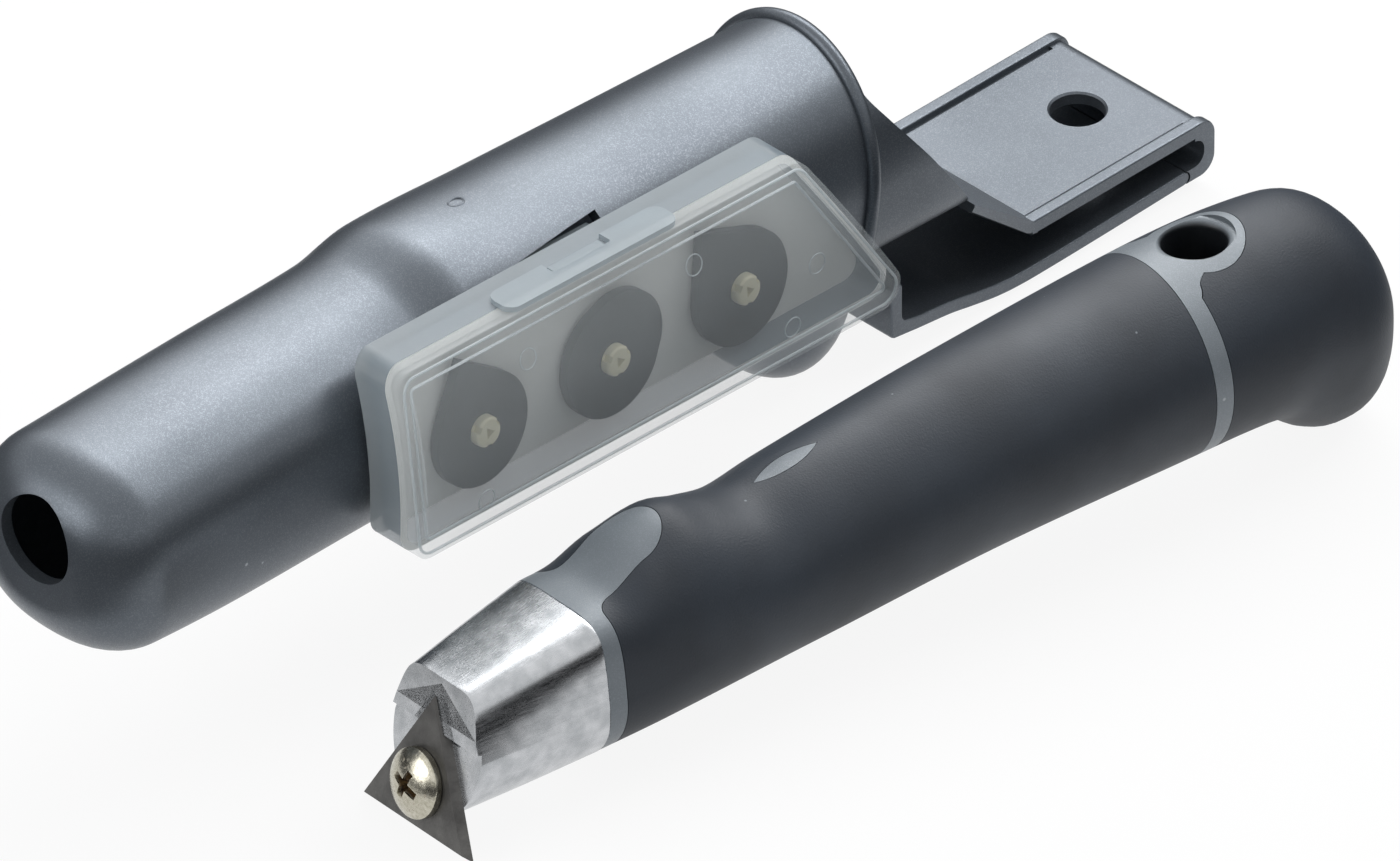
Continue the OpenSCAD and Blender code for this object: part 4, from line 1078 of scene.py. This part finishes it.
def build_pin_marks():
    loops = [on_lid(circle(x, z, PIN_MARK_R, 32), LID_RIM_H) for x, z in PIN_MARKS]
    finish_milky(beads("pin_marks", loops, 0.1, RIM_PLASTIC, 6), "pin_marks", "lid", RIM_PLASTIC)


def build_posts():
    """The three slotted posts of the spare blades, each with a three-cornered hole in its rounded tip."""
    length, tip_r, slot_d, slot_half = CASE_D - 2 * CASE_T - POST_SHORT, 0.5, 0.55, 0.5
    profile = [(0, -0.3), (POST_R, -0.3), (POST_R, length - tip_r)]
    profile += arc(POST_R - tip_r, length - tip_r, tip_r, degrees(0.3), degrees(1.57), 6)
    post = turned("post", profile + [(0, length)], sides=40)
    for k in range(3):
        cut_away(post, block((POST_R - slot_d, -slot_half, length - 1.4), (POST_R + 1, slot_half, length + 1),
                             tilt(30 + 120 * k, "Z")))
    cut_away(post, prism("tip_hole", circle(0, 0, 1, 3), length - 1.2, length + 1))
    back = case_line(CASE_D - CASE_T, POST_Z)
    spots = wire("posts", [[(POST_X + i * POST_PITCH, back, POST_Z) for i in range(3)]], False)
    run_tree(spots, REPEAT, REPEAT_SIZES, Piece=post, Turn=(radians(90 - PLANE_LEAN), 0, 0),
             Finish=POST_PLASTIC)
    bpy.data.objects.remove(post)
    finish_milky(spots, "blade_posts", "holster", POST_PLASTIC)


build_handle()
build_head()
build_screw()
build_holster()
build_clip()
build_tray()
build_lid()
build_latch()
build_pin_marks()
build_posts()

for material, labels in ((TANG_STEEL, ("tang", "tang_pin")), (BLADE_METAL, ("blade",)), (
        SPARE_METAL_SHADED, ("spare_blade_drop", "spare_blade_round", "spare_blade_corner"))):
    for label in labels:
        nodes[label].data.materials.clear()
        nodes[label].data.materials.append(material)


# Floor, light and camera

def empty_web(owner):
    owner.use_nodes = True
    owner.node_tree.nodes.clear()
    return Web(owner.node_tree)


def seen_rays(web):
    """1 for camera, mirror and glass rays, which see the white background, else 0."""
    path = web.add("ShaderNodeLightPath").outputs
    seen = web.math("MAXIMUM", path["Is Camera Ray"], path["Is Transmission Ray"])
    return web.math("MAXIMUM", seen, path["Is Glossy Ray"])


def build_floor():
    low = cad_box[0][2] - 0.00005
    floor = solid("floor", [(-4, -4, low), (4, -4, low), (4, 4, low), (-4, 4, low)], [(0, 1, 2, 3)])
    material = bpy.data.materials.new("floor_pale")
    web = empty_web(material)
    whitened = web.math("MULTIPLY", seen_rays(web), 0.9)
    plain = web.add("ShaderNodeBsdfDiffuse", {"Color": (0.86, 0.86, 0.86, 1)})
    glow = web.add("ShaderNodeEmission", {"Color": (1, 1, 1, 1), "Strength": 1.0})
    mixed = web.add("ShaderNodeMixShader", {0: whitened, 1: plain.outputs[0], 2: glow.outputs[0]})
    web.add("ShaderNodeOutputMaterial", {"Surface": mixed.outputs[0]})
    floor.data.materials.append(material)


def build_world():
    world = bpy.data.worlds.new("studio")
    scene.world = world
    web = empty_web(world)
    room = web.add("ShaderNodeBackground", {"Color": (0.96, 0.98, 1.0, 1), "Strength": 0.42})
    paper = web.add("ShaderNodeBackground", {"Color": (1, 1, 1, 1), "Strength": 1.0})
    mixed = web.add("ShaderNodeMixShader", {0: seen_rays(web), 1: room.outputs[0], 2: paper.outputs[0]})
    web.add("ShaderNodeOutputWorld", {"Surface": mixed.outputs[0]})


def build_flag():
    """A dark ring on the table and a low wall round it, which only polished surfaces see."""
    sides, low, inner, outer, high = 64, cad_box[0][2] + 0.0005, 0.14, 1.3, 0.42
    points = [(x, y, z) for far, z in ((inner, low), (outer, low), (outer, high))
              for x, y in circle(0, 0, far, sides)]
    flag = solid("dark_flag", points, strips(0, sides, 3))
    flag.data.materials.append(material_web("flag_dark", roughness=1.0, specular_ior_level=0.0,
                                            base_color=(0.02, 0.02, 0.022, 1))[0])
    flag.visible_camera = flag.visible_diffuse = flag.visible_shadow = flag.visible_transmission = False


def soft_lamp(name, spot, target, size, watts):
    lamp = bpy.data.lights.new(name, "AREA")
    lamp.shape, lamp.size, lamp.size_y, lamp.energy = "RECTANGLE", size[0], size[1], watts
    holder = put_in_scene(name, lamp)
    holder.location = spot
    holder.rotation_euler = (Vector(target) - Vector(spot)).to_track_quat("-Z", "Y").to_euler()


def build_camera():
    """The photograph's view: from the front left and above, with a long lens."""
    lens, scale = 1000.0, 7.05
    around, down = radians(45), radians(36)
    aim_right, aim_up, aim_back = 93.475, 15.532, -53.5
    frame_w, sensor_w = 1400, 36.0
    u = Vector((cos(around), -sin(around), 0))
    w = Vector((-cos(down) * sin(around), -cos(down) * cos(around), sin(down)))
    v = w.cross(u)
    middle = Vector(HOLSTER_SPOT) + aim_right * u + aim_up * v + aim_back * w
    camera = bpy.data.cameras.new("camera")
    camera.lens, camera.sensor_width, camera.sensor_fit = lens, sensor_w, "HORIZONTAL"
    camera.clip_start, camera.clip_end = 0.05, 20
    away = lens * frame_w / sensor_w / scale
    scene.camera = put_in_scene("camera", camera)
    scene.camera.matrix_world = moved(*(middle + w * away) * MM) @ Matrix((u, v, w)).transposed().to_4x4()


build_floor()
build_world()
soft_lamp("over", (0.44, 0.12, 0.62), (0, 0, 0), (0.9, 0.27), 5.2)
soft_lamp("back", (0.42, 0.62, 0.58), (0, 0, 0.02), (0.6, 0.5), 1.7)
soft_lamp("left", (-0.6, 0.22, 0.3), (0, 0, 0.02), (0.4, 0.4), 1.5)
build_flag()
build_camera()
scene.view_settings.view_transform = "Standard"
